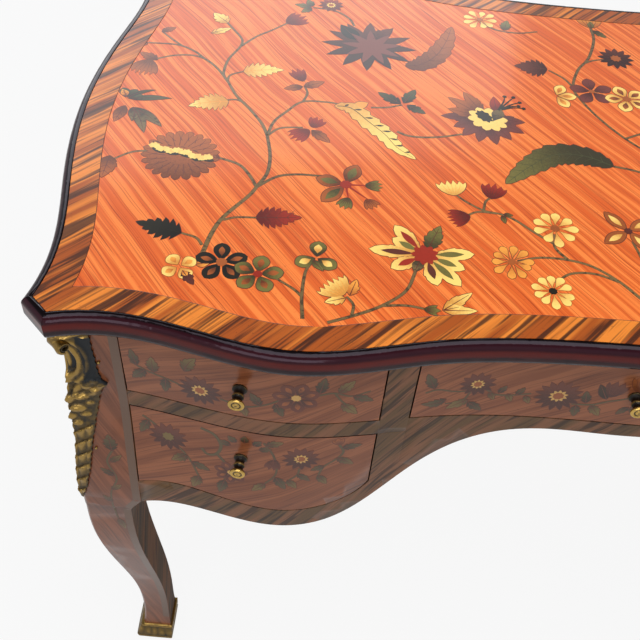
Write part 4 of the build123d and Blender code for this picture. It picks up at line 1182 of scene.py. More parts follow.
# ---------------------------------------------------------------- marquetry: fronts, ends and legs
def draw_centre_drawer(p):
    """Left half of the centre drawer, from its middle; y is above its lower edge."""
    p.stem((-204 + 40j, -192 + 44j, -176 + 40j, -160 + 40j), 2.2, 1.6)
    p.stem((-145 + 43j, -135 + 35j, -120 + 34j, -100 + 38j), 2.4, 2.0)
    p.stem((-57 + 26j, -38 + 27j, -22 + 35j, -6 + 42j, 0 + 52j), 2.4, 1.8)
    p.stem((-160 + 38j, -166 + 24j, -182 + 20j), 2.0, 1.6)
    p.leaf(-196 + 46j, -206 + 70j, 12, "dark_green", 3, veins=1)
    p.leaf(-182 + 28j, -206 + 22j, 13, "dark_green", 4, bow=4, veins=1)
    p.star(-155 + 51j, 18, "rosewood", 12)
    p.leaf(-160 + 26j, -180 + 12j, 13, "green", 3, veins=1)
    p.leaf(-160 + 22j, -144 + 8j, 12, "dark_green", 3, veins=1)
    for i in range(5):
        root = complex(-141 + 9 * i, 38 - i)
        step, wood = (6 + 12j, "dark_green") if i % 2 else (6 - 12j, "green")
        p.leaf(root, root + step, 8, wood, 3, veins=0)
    p.star(-73 + 37j, 24, "rosewood", 15)
    p.leaf(-52 + 24j, -50 + 6j, 11, "dark_green", 3, veins=1)
    p.leaf(-38 + 26j, -26 + 10j, 12, "green", 3, veins=1)
    p.leaf(-44 + 29j, -48 + 48j, 11, "dark_green", 3, veins=1)
    p.cup(-24 + 42j, -19 + 68j, 22, "rosewood", 4)
    p.leaf(-26 + 38j, -38 + 60j, 10, "ebony", 0, veins=0)


def draw_centre_spray(p):
    """The bud over the knob of the centre drawer."""
    p.cup(0 + 54j, 0 + 80j, 20, "walnut", 5)
    p.sprig(0 + 30j, -90, 18, "dark_green", 2, 70)


def draw_upper_drawer(p):
    """An upper side drawer; x runs from its outer end, y from its lower edge."""
    p.stem((8 + 50j, 24 + 40j, 44 + 34j, 60 + 28j), 2.4, 2.0)
    p.stem((96 + 22j, 120 + 18j, 140 + 26j, 156 + 38j), 2.4, 2.0)
    p.stem((188 + 46j, 206 + 50j, 222 + 44j, 240 + 50j), 2.4, 1.8)
    p.stem((206 + 50j, 214 + 36j, 224 + 24j), 2.0, 1.6)
    p.leaf(22 + 41j, 8 + 24j, 13, "dark_green", 4, veins=1)
    p.leaf(30 + 40j, 30 + 64j, 14, "green", 4, veins=1)
    p.leaf(14 + 46j, 10 + 70j, 11, "dark_green", 3, veins=1)
    p.leaf(42 + 34j, 40 + 12j, 12, "dark_green", 3, veins=1)
    p.leaf(62 + 54j, 74 + 78j, 15, "green", 4, bow=2, veins=1)
    p.star(76 + 28j, 22, "rosewood", 14)
    p.leaf(118 + 18j, 122 + 2j, 10, "green", 3, veins=0)
    p.leaf(136 + 24j, 126 + 42j, 12, "dark_green", 3, veins=1)
    p.petals(170 + 42j, 7, 4, 23, 13, "rosewood", 20, "walnut")
    p.eye(170 + 42j, 5, "boxwood")
    p.leaf(192 + 50j, 196 + 74j, 13, "dark_green", 4, veins=1)
    p.leaf(210 + 50j, 224 + 68j, 13, "green", 4, veins=1)
    p.leaf(224 + 44j, 244 + 34j, 12, "dark_green", 3, veins=1)
    p.leaf(214 + 32j, 230 + 14j, 13, "green", 4, veins=1)
    p.leaf(150 + 30j, 158 + 10j, 12, "dark_green", 3, veins=1)


def draw_lower_drawer(p):
    """A lower side drawer; x runs from its outer end, y down from its upper edge."""
    p.stem((12 - 12j, 24 - 22j, 38 - 40j, 58 - 64j, 70 - 96j), 2.6, 2.0)
    p.stem((74 - 10j, 88 - 16j, 95 - 32j, 90 - 48j, 80 - 52j, 74 - 44j), 3.6, 3.0)
    p.stem((90 - 48j, 100 - 62j, 104 - 74j, 98 - 92j), 3.2, 2.6)
    p.stem((140 - 14j, 150 - 34j, 154 - 56j, 152 - 72j, 141 - 89j), 2.4, 1.8)
    p.stem((217 - 14j, 222 - 28j, 214 - 42j, 203 - 54j, 198 - 72j), 2.6, 2.0)
    p.stem((178 - 56j, 176 - 68j, 166 - 80j), 2.2, 1.8)
    p.star(38 - 38j, 21, "rosewood", 13, ring=None, heart="green")
    p.leaf(18 - 18j, 8 - 40j, 12, "dark_green", 3, veins=1)
    p.leaf(58 - 62j, 40 - 76j, 14, "green", 4, veins=1)
    p.leaf(62 - 72j, 82 - 80j, 12, "dark_green", 3, veins=1)
    p.leaf(70 - 94j, 62 - 116j, 14, "green", 4, veins=1)
    for i in range(5):
        angle = math.radians(160 - 35 * i)
        ray = complex(math.cos(angle), math.sin(angle) * 0.8)
        p.leaf(120 - 32j + 16 * ray, 120 - 32j + 30 * ray, 10, "dark_green", 3, veins=0)
    p.petals(105 - 76j, 7, 3, 18, 10, "rosewood", 10, "walnut")
    p.eye(105 - 76j, 4, "boxwood")
    p.leaf(98 - 92j, 92 - 116j, 13, "dark_green", 4, veins=1)
    p.leaf(142 - 18j, 160 - 10j, 12, "green", 3, veins=1)
    p.cup(152 - 42j, 148 - 62j, 16, "rosewood", 4)
    p.leaf(153 - 74j, 164 - 96j, 13, "dark_green", 3, veins=1)
    p.leaf(142 - 88j, 128 - 104j, 12, "green", 3, veins=1)
    p.star(179 - 38j, 20, "rosewood", 13)
    p.leaf(176 - 66j, 190 - 80j, 10, "dark_green", 3, veins=0)
    p.leaf(166 - 78j, 176 - 94j, 11, "green", 3, veins=0)
    p.leaf(220 - 20j, 240 - 16j, 12, "dark_green", 3, veins=1)
    p.leaf(216 - 38j, 234 - 52j, 12, "green", 4, veins=1)
    p.leaf(204 - 52j, 190 - 60j, 10, "dark_green", 3, veins=0)
    p.leaf(198 - 70j, 208 - 88j, 11, "green", 3, veins=0)
    p.cup(218 - 14j, 214 - 2j, 12, "walnut", 3)


def draw_panel_spray(p):
    """A spray of flowers for a panel of the ends and the back, about 230 by 200."""
    p.stem((-8 - 84j, -2 - 50j, 6 - 14j, 0 + 22j, -14 + 54j), 3.0, 2.0)
    p.stem((2 - 40j, 28 - 22j, 52 - 10j, 70 + 14j), 2.6, 1.8)
    p.stem((6 - 14j, -22 - 2j, -50 - 6j, -74 + 12j), 2.6, 1.8)
    p.stem((2 + 8j, 26 + 28j, 46 + 52j), 2.4, 1.8)
    p.stem((-4 - 62j, -34 - 66j, -62 - 52j), 2.4, 1.8)
    p.star(-16 + 62j, 23, "rosewood", 14)
    p.petals(76 + 24j, 6, 4, 24, 15, "boxwood", 0, "satinwood")
    p.eye(76 + 24j, 5, "walnut")
    p.daisy(-82 + 20j, 22, "satinwood", "walnut", 10)
    p.cup(46 + 50j, 58 + 76j, 28, "padouk", 5)
    p.cup(-60 - 52j, -86 - 44j, 24, "boxwood", 5, "satinwood")
    p.leaf(6 - 14j, 30 - 46j, 20, "green", 5, veins=2)
    p.leaf(52 - 10j, 84 - 30j, 20, "dark_green", 4, veins=2)
    p.leaf(-30 - 2j, -44 - 34j, 18, "green", 4, veins=2)
    p.leaf(-2 + 32j, -36 + 36j, 18, "dark_green", 4, veins=1)
    p.leaf(22 + 26j, 12 + 56j, 16, "green", 4, veins=1)
    p.leaf(-6 - 74j, 22 - 82j, 16, "dark_green", 4, veins=1)
    p.leaf(-50 - 6j, -60 + 20j, 14, "green", 3, veins=1)


def draw_reserve(p, half_wide, half_tall):
    """A plate of tulipwood with hollow corners and a dark line round it, under a spray."""
    outline = []
    cut = half_tall * 0.3
    for right, high in ((1, -1), (1, 1), (-1, 1), (-1, -1)):
        corner = complex(right * half_wide, high * half_tall)
        for i in range(7):
            angle = math.pi / 2 * (i if right * high < 0 else 6 - i) / 6
            outline.append(corner - cut * complex(right * math.cos(angle), high * math.sin(angle)))
    p.cut(grown(outline, 1.6), "ebony", -2)
    p.cut(outline, "reserve", -1)


def draw_leg_spray(p):
    """The climbing sprig on a leg's face; x is across the leg, y down from the post's top."""
    p.stem((6 - 88j, -3 - 112j, 5 - 140j, -4 - 168j, -6 - 200j, -3 - 236j), 2.4, 1.6)
    p.leaf(4 - 92j, 2 - 66j, 17, "dark_green", 4, veins=2)
    p.leaf(0 - 112j, 14 - 98j, 9, "green", 3, veins=0)
    p.leaf(3 - 136j, -12 - 124j, 10, "dark_green", 3, veins=0)
    p.leaf(-3 - 164j, 9 - 152j, 9, "green", 3, veins=0)
    p.leaf(-5 - 192j, -15 - 178j, 9, "dark_green", 3, veins=0)
    p.leaf(-3 - 232j, 3 - 258j, 10, "green", 3, veins=0)


# ---------------------------------------------------------------- marquetry: laying it on the desk
TOP = 0.780
PLAN_SCALE = 0.9365  # the pattern of the top is drawn a little over size
REACH = 0.2  # how far either side of its origin a draped pattern looks for the surface
FRONT_MESH, PANEL_MESH, LEG_MESH = 5.0, 6.0, 4.0  # longest sides of the triangles, in millimetres
BOTH = (False, True)
FRONT_OUTER = -497.9  # x of the side drawers' outer end
FRONTS = {
    # row: how it is drawn, its seed, and the height of the edge that it is drawn from
    "upper": (draw_upper_drawer, 7, 652.3),
    "lower": (draw_lower_drawer, 8, 626.6),
}
FRONT_START, BACK_START, END_START = -0.33, 0.33, 0.58  # y of the front and back, x of an end, near enough
PANEL_MIDDLE = 0.622  # height of the middle of an end's plate
SPRAY_ORIGIN = (0.5285, 0.34, 0.64)  # on the right-hand back leg; the others mirror it
BACK_PLATES = (
    # x of the middle, its height, size of the spray, half width and height of the plate, mirrored
    (-350, 0.628, 0.88, (130, 95), False),
    (0, 0.708, 0.4, (300, 82), False),
    (350, 0.628, 0.88, (130, 95), True),
)


def draped(tree, direction, origin, across, up):
    """A place function that lays a pattern on a surface, seen along a direction."""
    direction = Vector(direction).normalized()

    def place(x, y, height):
        start = Vector(origin) + Vector(across) * x + Vector(up) * y - direction * REACH
        hit, normal, _, _ = tree.ray_cast(start, direction, 2 * REACH)
        if hit is None:
            hit, normal, _, _ = tree.find_nearest(start + direction * REACH)
        if normal.dot(direction) > 0:
            normal = -normal
        return hit + normal * height

    return place


def on_front(node, level):
    """A place function for a drawer front; level is the height in millimetres that y starts from."""
    return draped(surface_of(node), (0, 1, 0), (0, FRONT_START, level * MM), (1, 0, 0), (0, 0, 1))


def panel_spray(seed, half_wide, half_tall):
    """A plate of tulipwood with a spray of flowers on it."""
    spray = Pattern(seed)
    draw_reserve(spray, half_wide, half_tall)
    draw_panel_spray(spray)
    return spray


class DESK_OT_marquetry(bpy.types.Operator):
    """Lays the floral marquetry of the top, the drawers, the legs and the panels"""

    bl_idname = "desk.marquetry"
    bl_label = "Marquetry"

    def execute(self, context):
        woods = {name: bpy.data.materials[f"inlay_{name}"] for name in WOODS}
        faded = {name: bpy.data.materials[f"faded_{name}"] for name in WOODS}
        faded["reserve"] = bpy.data.materials["rose_tulipwood"]
        faded["stem"] = bpy.data.materials["faded_dark_green"]
        bed = TOP - finish().field_sink

        def flat(x, y, height):
            return Vector((x, y, bed + height))

        # A pattern's number only seeds the tone of its pieces and the spread of its daisies.
        half, middle = Pattern(3), Pattern(4)
        draw_top_half(half)
        draw_top_middle(middle)
        piece = lay("top_flowers", half, woods, flat, PLAN_SCALE, flips=BOTH)
        settle(piece, "carcass", "field_veneer")
        piece = lay("top_middle_flowers", middle, woods, flat, PLAN_SCALE)
        settle(piece, "carcass", "field_veneer")

        for hand, end in (("left", -1), ("right", 1)):
            for row, (draw, seed, level) in FRONTS.items():
                pattern = Pattern(seed)
                draw(pattern)
                place = on_front(f"{row}_{hand}_drawer_front", level)
                piece = lay(f"{row}_{hand}_drawer_flowers", pattern.shifted(FRONT_OUTER), faded, place,
                            mesh_size=FRONT_MESH, flips=(end > 0,))
                settle(piece, f"drawer_{row}_{hand}", "drawer_veneer")
        place = on_front("centre_drawer_front", 652.3)
        for name, draw, seed, flips in (
            ("centre_drawer_flowers", draw_centre_drawer, 9, BOTH),
            ("centre_drawer_bud", draw_centre_spray, 10, (False,)),
        ):
            pattern = Pattern(seed)
            draw(pattern)
            piece = lay(name, pattern, faded, place, mesh_size=FRONT_MESH, flips=flips)
            settle(piece, "drawer_centre", "drawer_veneer")

        for hand, end in (("left", -1), ("right", 1)):
            tree = surface_of(f"side_panel_{hand}")
            origin = (end * END_START, 0, PANEL_MIDDLE)
            place = draped(tree, (-end, 0, 0), origin, (0, end, 0), (0, 0, 1))
            piece = lay(f"{hand}_end_flowers", panel_spray(11, 180, 92), faded, place, mesh_size=PANEL_MESH)
            settle(piece, "carcass", "kingwood")
        tree = surface_of("back_panel")
        for number, (x, z, size, plate, flip) in enumerate(BACK_PLATES):
            place = draped(tree, (0, -1, 0), (x * MM, BACK_START, z), (-1, 0, 0), (0, 0, 1))
            spray = panel_spray(12 + number, *plate)
            piece = lay(f"back_flowers_{number + 1}", spray, faded, place, size, PANEL_MESH, flips=(flip,))
            settle(piece, "carcass", "kingwood")

        for corner, (end, side) in CORNERS.items():
            spray = Pattern(21)
            draw_leg_spray(spray)
            origin = (end * SPRAY_ORIGIN[0], side * SPRAY_ORIGIN[1], SPRAY_ORIGIN[2])
            place = draped(surface_of(f"leg_{corner}"), (0, -side, 0), origin, (-side, 0, 0), (0, 0, 1))
            mirrored = end * side < 0
            piece = lay(f"{corner}_leg_spray", spray, faded, place, mesh_size=LEG_MESH, flips=(mirrored,))
            settle(piece, "carcass", "kingwood")
        return {"FINISHED"}


# ---------------------------------------------------------------- stringing and screws
STRING_DEPTH = 0.0002
STRING_SINK = 0.00013  # how far its middle lies below the banding
SCREW_RADIUS, SCREW_HEAD = 0.002, 0.004


def new_tree(name, sizes):
    """A geometry tree with named sizes, its sockets and a short way to link nodes."""
    tree = bpy.data.node_groups.new(name, "GeometryNodeTree")
    tree.interface.new_socket("Geometry", in_out="INPUT", socket_type="NodeSocketGeometry")
    for label, default in sizes.items():
        tree.interface.new_socket(label, in_out="INPUT", socket_type=FLOAT).default_value = default
    tree.interface.new_socket("Geometry", in_out="OUTPUT", socket_type="NodeSocketGeometry")
    return tree, Shader(tree)


def through_tree(piece, tree, sizes):
    """Sets a tree's sizes on a piece, runs it and returns the result as a plain piece."""
    modifier = piece.modifiers.new(tree.name, "NODES")
    modifier.node_group = tree
    for item in tree.interface.items_tree:
        if item.in_out == "INPUT" and item.name in sizes:
            modifier[item.identifier] = sizes[item.name]
    made = piece.evaluated_get(bpy.context.evaluated_depsgraph_get())
    mesh = bpy.data.meshes.new_from_object(made)
    name = piece.name
    bpy.data.objects.remove(piece)
    mesh.name = name
    return new_piece(name, mesh)


def end_tree(s, source, material):
    """Sends a tree's result out as plain mesh in a material."""
    real = s.node("GeometryNodeRealizeInstances")
    s.plug(source, real.inputs[0])
    dressed = s.node("GeometryNodeSetMaterial")
    dressed.inputs["Material"].default_value = material
    s.plug(real.outputs[0], dressed.inputs["Geometry"])
    s.plug(dressed.outputs[0], s.node("NodeGroupOutput").inputs["Geometry"])


def build_string_tree(material):
    """A thin line of wood along the edges of a wire mesh."""
    tree, s = new_tree("Stringing", {"Width": 0.0009, "Depth": STRING_DEPTH})
    inside = s.node("NodeGroupInput").outputs
    line = s.node("GeometryNodeMeshToCurve")
    s.plug(inside["Geometry"], line.inputs["Mesh"])
    section = s.node("GeometryNodeCurvePrimitiveQuadrilateral")
    s.plug(inside["Depth"], section.inputs["Height"])
    s.plug(inside["Width"], section.inputs["Width"])
    swept = s.node("GeometryNodeCurveToMesh")
    s.plug(line.outputs[0], swept.inputs["Curve"])
    s.plug(section.outputs[0], swept.inputs["Profile Curve"])
    end_tree(s, swept.outputs[0], material)
    return tree


def build_screw_tree(material):
    """A slotted wood screw at each point, its head downwards and its shank as long as the point says."""
    tree, s = new_tree("Wood Screws", {"Radius": SCREW_RADIUS, "Head": SCREW_HEAD})
    inside = s.node("NodeGroupInput").outputs
    shank = s.node("GeometryNodeMeshCone")
    shank.inputs["Vertices"].default_value = 20
    s.plug(inside["Radius"], shank.inputs["Radius Bottom"])
    s.plug(s.math("MULTIPLY", inside["Radius"], 0.5), shank.inputs["Radius Top"])
    shank.inputs["Depth"].default_value = 1.0
    long = s.node("GeometryNodeInputNamedAttribute", data_type="FLOAT")
    long.inputs["Name"].default_value = "long"
    stretch = s.join(1.0, 1.0, long.outputs["Attribute"])
    head = s.node("GeometryNodeMeshCone")
    head.inputs["Vertices"].default_value = 28
    s.plug(inside["Head"], head.inputs["Radius Bottom"])
    s.plug(inside["Radius"], head.inputs["Radius Top"])
    s.plug(inside["Radius"], head.inputs["Depth"])
    long_slot, wide_slot = [s.math("MULTIPLY", inside["Head"], share) for share in (3.0, 0.22)]
    slot = s.node("GeometryNodeMeshCube")
    s.plug(s.join(long_slot, wide_slot, inside["Radius"]), slot.inputs["Size"])
    cut = s.node("GeometryNodeMeshBoolean", operation="DIFFERENCE")
    s.plug(head.outputs["Mesh"], cut.inputs[0])
    s.plug(slot.outputs["Mesh"], cut.inputs[1])
    joined = s.node("GeometryNodeJoinGeometry")
    for part, scale in ((shank.outputs["Mesh"], stretch), (cut.outputs[0], (1.0, 1.0, 1.0))):
        placed = s.node("GeometryNodeInstanceOnPoints")
        s.plug(inside["Geometry"], placed.inputs["Points"])
        s.plug(part, placed.inputs["Instance"])
        s.plug(scale, placed.inputs["Scale"])
        s.plug(placed.outputs[0], joined.inputs[0])
    end_tree(s, joined.outputs[0], material)
    return tree


def islands(bm):
    """The separate bodies of a bmesh, each as a set of its vertices."""
    left = set(bm.verts)
    for seed in bm.verts:
        if seed not in left:
            continue
        left.discard(seed)
        island, edge = set(), [seed]
        while edge:
            vert = edge.pop()
            island.add(vert)
            for link in vert.link_edges:
                other = link.other_vert(vert)
                if other in left:
                    left.discard(other)
                    edge.append(other)
        yield island


def lay_field_line():
    """The dark line between the field and the banding."""
    bm = merged_copy("top_field_veneer")
    high = max(v.co.z for v in bm.verts)
    ring = [e for e in bm.edges if all(v.co.z > high - FLUSH for v in e.verts)
            and min(abs(face.normal.z) for face in e.link_faces) < 0.5]
    spots = dict.fromkeys(v for e in ring for v in e.verts)
    order = {v: i for i, v in enumerate(spots)}
    points = [(v.co.x, v.co.y, high - STRING_SINK) for v in spots]
    mesh = bpy.data.meshes.new("field_line")
    mesh.from_pydata(points, [tuple(order[v] for v in e.verts) for e in ring], [])
    bm.free()
    tree = build_string_tree(bpy.data.materials["inlay_ebony"])
    sizes = {"Width": finish().string_width, "Depth": STRING_DEPTH}
    line = through_tree(new_piece("field_line", mesh), tree, sizes)
    settle(line, "carcass", "edge_wood")


def set_screws():
    """The wood screws that hold the top, each as long as its screw in the frame."""
    bm = merged_copy("top_screws")
    screws, lengths = [], []
    for island in islands(bm):
        lows = [min(v.co[i] for v in island) for i in range(3)]
        highs = [max(v.co[i] for v in island) for i in range(3)]
        screws.append(((lows[0] + highs[0]) / 2, (lows[1] + highs[1]) / 2, lows[2]))
        lengths.append(highs[2] - lows[2])
    bm.free()
    mesh = bpy.data.meshes.new("wood_screws")
    mesh.from_pydata(screws, [], [])
    mesh.attributes.new("long", "FLOAT", "POINT").data.foreach_set("value", lengths)
    tree = build_screw_tree(bpy.data.materials["screw_iron"])
    piece = through_tree(new_piece("wood_screws", mesh), tree, {"Radius": SCREW_RADIUS, "Head": SCREW_HEAD})
    settle(piece, "carcass", "screw_steel", "top_screws")


class DESK_OT_stringing(bpy.types.Operator):
    """Lays the dark line between the field and the banding, and sets the top's screws"""

    bl_idname = "desk.stringing"
    bl_label = "Stringing and screws"

    def execute(self, context):
        lay_field_line()
        set_screws()
        return {"FINISHED"}


# ---------------------------------------------------------------- legs' strips
STRIP_TOP, STRIP_LENGTH, STRIP_STEPS = 0.752, 0.7, 60
STRIP_MESH = 6.0
STRIP_INSET = 0.3  # from the leg's inner edge, in millimetres


class DESK_OT_leg_strips(bpy.types.Operator):
    """Edges each leg's outer faces with a strip of kingwood beside the frame"""

    bl_idname = "desk.leg_strips"
    bl_label = "Leg strips"

    def execute(self, context):
        woods = {name: bpy.data.materials[f"faded_{name}"] for name in WOODS}
        wide = finish().strip_width / MM
        for corner, (end, side) in CORNERS.items():
            tree = surface_of(f"leg_{corner}")
            strips = Pattern(30)
            line = []
            for i in range(STRIP_STEPS):
                z = STRIP_TOP - STRIP_LENGTH * i / (STRIP_STEPS - 1)
                face = tree.ray_cast(Vector((end * 0.53, side * 0.5, z)), Vector((0, -side, 0)))[0]
                edge = tree.ray_cast(Vector((0, face.y - side * 0.005, z)), Vector((end, 0, 0)))[0]
                line.append(complex(abs(edge.x) / MM + wide / 2 + STRIP_INSET, z / MM))
            strips.cut(ribbon(line, wide, wide), "kingwood", 0)
            place = draped(tree, (0, -side, 0), (0, side * 0.36, 0), (end, 0, 0), (0, 0, 1))
            mirrored = end * side > 0
            piece = lay(f"{corner}_front_strip", strips, woods, place, mesh_size=STRIP_MESH, turned=mirrored)
            settle(piece, "carcass", "kingwood")
        return {"FINISHED"}


# ---------------------------------------------------------------- bronze
# The mount in millimetres: distance down it, how far its crest stands out, and its reach on each face.
MOUNT_PROFILE = (
    (0.6, 2.6, 25, 25), (14, 3.8, 27, 28), (30, 4.6, 25, 28), (44, 1.2, 20, 28), (60, -0.4, 18, 29),
    (74, -0.4, 19, 29), (88, 0.0, 22, 31), (97, 0.8, 24, 36.5), (106, 2.4, 23, 30), (120, 4.6, 22, 26),
    (138, 5.2, 20, 23), (160, 4.0, 17, 20), (195, 1.2, 13, 17), (233, 0.6, 12, 15.5), (268, 0.2, 8, 11.5),
    (299, 0.2, 2.5, 4),
)
MOUNT_ROWS, MOUNT_COLUMNS = 230, 56
MOUNT_LIP = 1.6  # how far its outer margins stand off the leg
MOUNT_BACK = 1.2  # how far its back is let into the leg
MOUNT_TOP = 0.7565
CARTOUCHE = (26, 96)  # where the darker ground beside the cartouche starts and ends, down the mount
SCROLL_HEIGHT, SCROLL_SEAT = 0.7215, 0.7185  # where its axis is, and where the leg's faces are read for it
SCROLL_OUT, SCROLL_RADIUS, SCROLL_LENGTH = 0.0034, 0.0092, 0.021
# The pins that hold a mount: the distance down it and across the leg's front, in millimetres.
MOUNT_PINS = ((64, 31.0), (206, 20.0))
PIN_RADIUS = 0.0016
# Shells and seeds of a mount: place across and down, radius and height.
SEEDS = (
    (0, 122, 7.5, 3.6), (-11, 118, 6, 2.6), (12, 117, 6.5, 2.8), (-6, 136, 6.5, 3.0), (8, 137, 6.5, 3.0),
    (0, 150, 6.5, 3.2), (-12, 148, 4.5, 2.0), (13, 147, 4.5, 2.0), (17, 128, 4, 1.8), (-16, 130, 4, 1.8),
    (6, 161, 4.5, 2.2), (-6, 160, 4.5, 2.2),
)


POST_X, POST_Y = 0.515, 0.262  # a line up through every leg's post
OUTSIDE = 0.9  # well outside the desk


def leg_faces(leg, end, side, z):
    """x of a leg's face on the end, and y of its face on the front or back, at a height."""
    on_end = leg.ray_cast(Vector((end * OUTSIDE, side * POST_Y, z)), Vector((-end, 0, 0)))[0]
    on_front = leg.ray_cast(Vector((end * POST_X, side * OUTSIDE, z)), Vector((0, -side, 0)))[0]
    return on_end.x, on_front.y


def along_profile(profile, at):
    """The row of a profile at a distance, by smooth blending between its rows."""
    at = min(max(at, profile[0][0]), profile[-1][0])
    for low, high in zip(profile, profile[1:]):
        if at <= high[0]:
            t = (at - low[0]) / (high[0] - low[0])
            t = t * t * (3 - 2 * t)
            return [a + (b - a) * t for a, b in zip(low[1:], high[1:])]
    return list(profile[-1][1:])


def dome(u, v, at_u, at_v, wide, tall, high):
    """Height of a rounded boss."""
    far = ((u - at_u) / wide) ** 2 + ((v - at_v) / tall) ** 2
    return high * math.sqrt(1 - far) if far < 1 else 0.0


def rim(u, v, at_u, at_v, wide, tall, high, thick):
    """Height of a raised oval line."""
    far = math.hypot((u - at_u) / wide, (v - at_v) / tall)
    return high * math.exp(-(((far - 1) / thick) ** 2))


def mount_relief(u, v):
    """Chased relief of a corner mount; u is from its crest towards the front, v down."""
    out = 0.0
    side = abs(u)
    if v < 26:  # gadrooned cap
        out += 1.5 * math.sin((v + side * 0.55) / 7.0 * math.pi) ** 2 * min(1, v / 4)
    if 22 < v < 96:  # cartouche: a dish between raised rims
        out += rim(u, v, 3, 60, 11.5, 27, 3.2, 0.2) + rim(u, v, 3, 60, 18, 36, 1.8, 0.12)
        out -= dome(u, v, 3, 60, 10, 24, 1.6)
        out += dome(u, v, 3, 60, 3.6, 19, 2.2)
    if 80 < v < 116:  # leaf that curls out at the side
        out += dome(side, v, 26, 98, 11, 9, 3.8) - dome(side, v, 29, 99, 6, 3, 1.6)
    if 80 < v < 124:  # acanthus collar, fluted from its foot upwards
        angle = math.atan2(u, 126 - v)
        fade = math.sin(math.pi * (v - 80) / 44)
        out += 3.0 * abs(math.cos(angle * 6.5)) ** 0.7 * fade
    if 104 < v < 168:  # shells and seeds
        for at_u, at_v, size, high in SEEDS:
            out += dome(u, v, at_u, at_v, size, size, high)
            out += rim(u, v, at_u, at_v, size * 0.6, size * 0.6, -0.8, 0.25)
    if v > 160:  # overlapping husks down to the point
        fade = min(1, (v - 160) / 8) * min(1, (300 - v) / 14)
        share = ((v - 160 + side * 0.9) / 21.0) % 1.0
        out += 2.2 * (1 - share) ** 0.8 * fade * (0.55 + 0.45 * abs(math.cos(u * 0.42)))
        out -= 0.6 * math.exp(-((side / 1.1) ** 2)) * fade
    return out


def shell_mesh(outer, inner, shades, closed=False):
    """A bmesh of a thick sheet given as two grids of points; closed joins its sides.

    shades says how bright each point of the outer grid is painted, for wear and patina and as painted shade.
    """
    bm = bmesh.new()
    relief = bm.verts.layers.float_color.new("relief")
    rows, columns = len(outer), len(outer[0])
    skins = []
    # the back grid gets the darkest tone: patina, and painted shade where the sheet lies against the wood
    for grid, dark in ((outer, False), (inner, True)):
        skins.append([[bm.verts.new(point) for point in row] for row in grid])
        for row, tones in zip(skins[-1], shades):
            for vert, tone in zip(row, tones):
                vert[relief] = (0.0 if dark else tone, 0.0, 0.0, 1.0)
    out, back = skins
    span = columns if closed else columns - 1
    for i in range(rows - 1):
        for j in range(span):
            k = (j + 1) % columns
            bm.faces.new((out[i][j], out[i][k], out[i + 1][k], out[i + 1][j]))
            bm.faces.new((back[i][j], back[i + 1][j], back[i + 1][k], back[i][k]))
    for i in (0, rows - 1):
        for j in range(span):
            k = (j + 1) % columns
            wall = (out[i][j], back[i][j], back[i][k], out[i][k])
            bm.faces.new(wall if i == 0 else wall[::-1])
    if not closed:
        for i in range(rows - 1):
            bm.faces.new((out[i][0], out[i + 1][0], back[i + 1][0], back[i][0]))
            bm.faces.new((out[i][-1], back[i][-1], back[i + 1][-1], out[i + 1][-1]))
    return bm


def add_scroll(bm, centre, outwards, across, radius, length):
    """Adds a rolled scroll to a mount, its axis along across."""
    relief = bm.verts.layers.float_color["relief"]
    turns, steps = 1.6, 56
    section = []
    for i in range(steps + 1):
        angle = -math.pi / 2 + math.tau * turns * i / steps
        reach = radius * math.exp(-0.9 * i / steps)
        section.append((reach, angle, reach * 0.30))
    outline = [(r, a) for r, a, _ in section] + [(r - t, a) for r, a, t in section[::-1]]
    rings = []
    for share, swell in ((-0.5, 0.86), (-0.4, 1.0), (-0.12, 0.92), (0.12, 0.92), (0.4, 1.0), (0.5, 0.86)):
        ring = []
        for reach, angle in outline:
            point = centre + across * (length * share) + (
                outwards * math.cos(angle) + Vector((0, 0, 1)) * math.sin(angle)) * (reach * swell)
            vert = bm.verts.new(point)
            # outer turns get a light tone and the inner curl a dark one: wear, and painted shade in the curl
            vert[relief] = (0.75 if reach > radius * 0.6 else 0.25, 0.0, 0.0, 1.0)
            ring.append(vert)
        rings.append(ring)
    count = len(outline)
    made = []
    for low, high in zip(rings, rings[1:]):
        for i in range(count):
            k = (i + 1) % count
            made.append(bm.faces.new((low[i], low[k], high[k], high[i])))
    half = steps + 1
    for ring in (rings[0], rings[-1]):
        for i in range(half - 1):
            made.append(bm.faces.new((ring[i], ring[i + 1], ring[count - 2 - i], ring[count - 1 - i])))
    bmesh.ops.recalc_face_normals(bm, faces=made)


def hollows(heights):
    """How bright each point of a relief is painted: bright on what stands out, dark in the hollows, for wear
    and patina and as painted shade.
    """
    rows, columns = len(heights), len(heights[0])
    out = []
    for i in range(rows):
        row = []
        for j in range(columns):
            near = [heights[min(max(i + a, 0), rows - 1)][min(max(j + b, 0), columns - 1)]
                    for a in (-6, -3, 0, 3, 6) for b in (-5, -2, 0, 2, 5)]
            high = heights[i][j]
            row.append(min(1.0, max(0.0, 0.42 + (high - sum(near) / 25) * 0.55 + high * 0.05)))
        out.append(row)
    return out


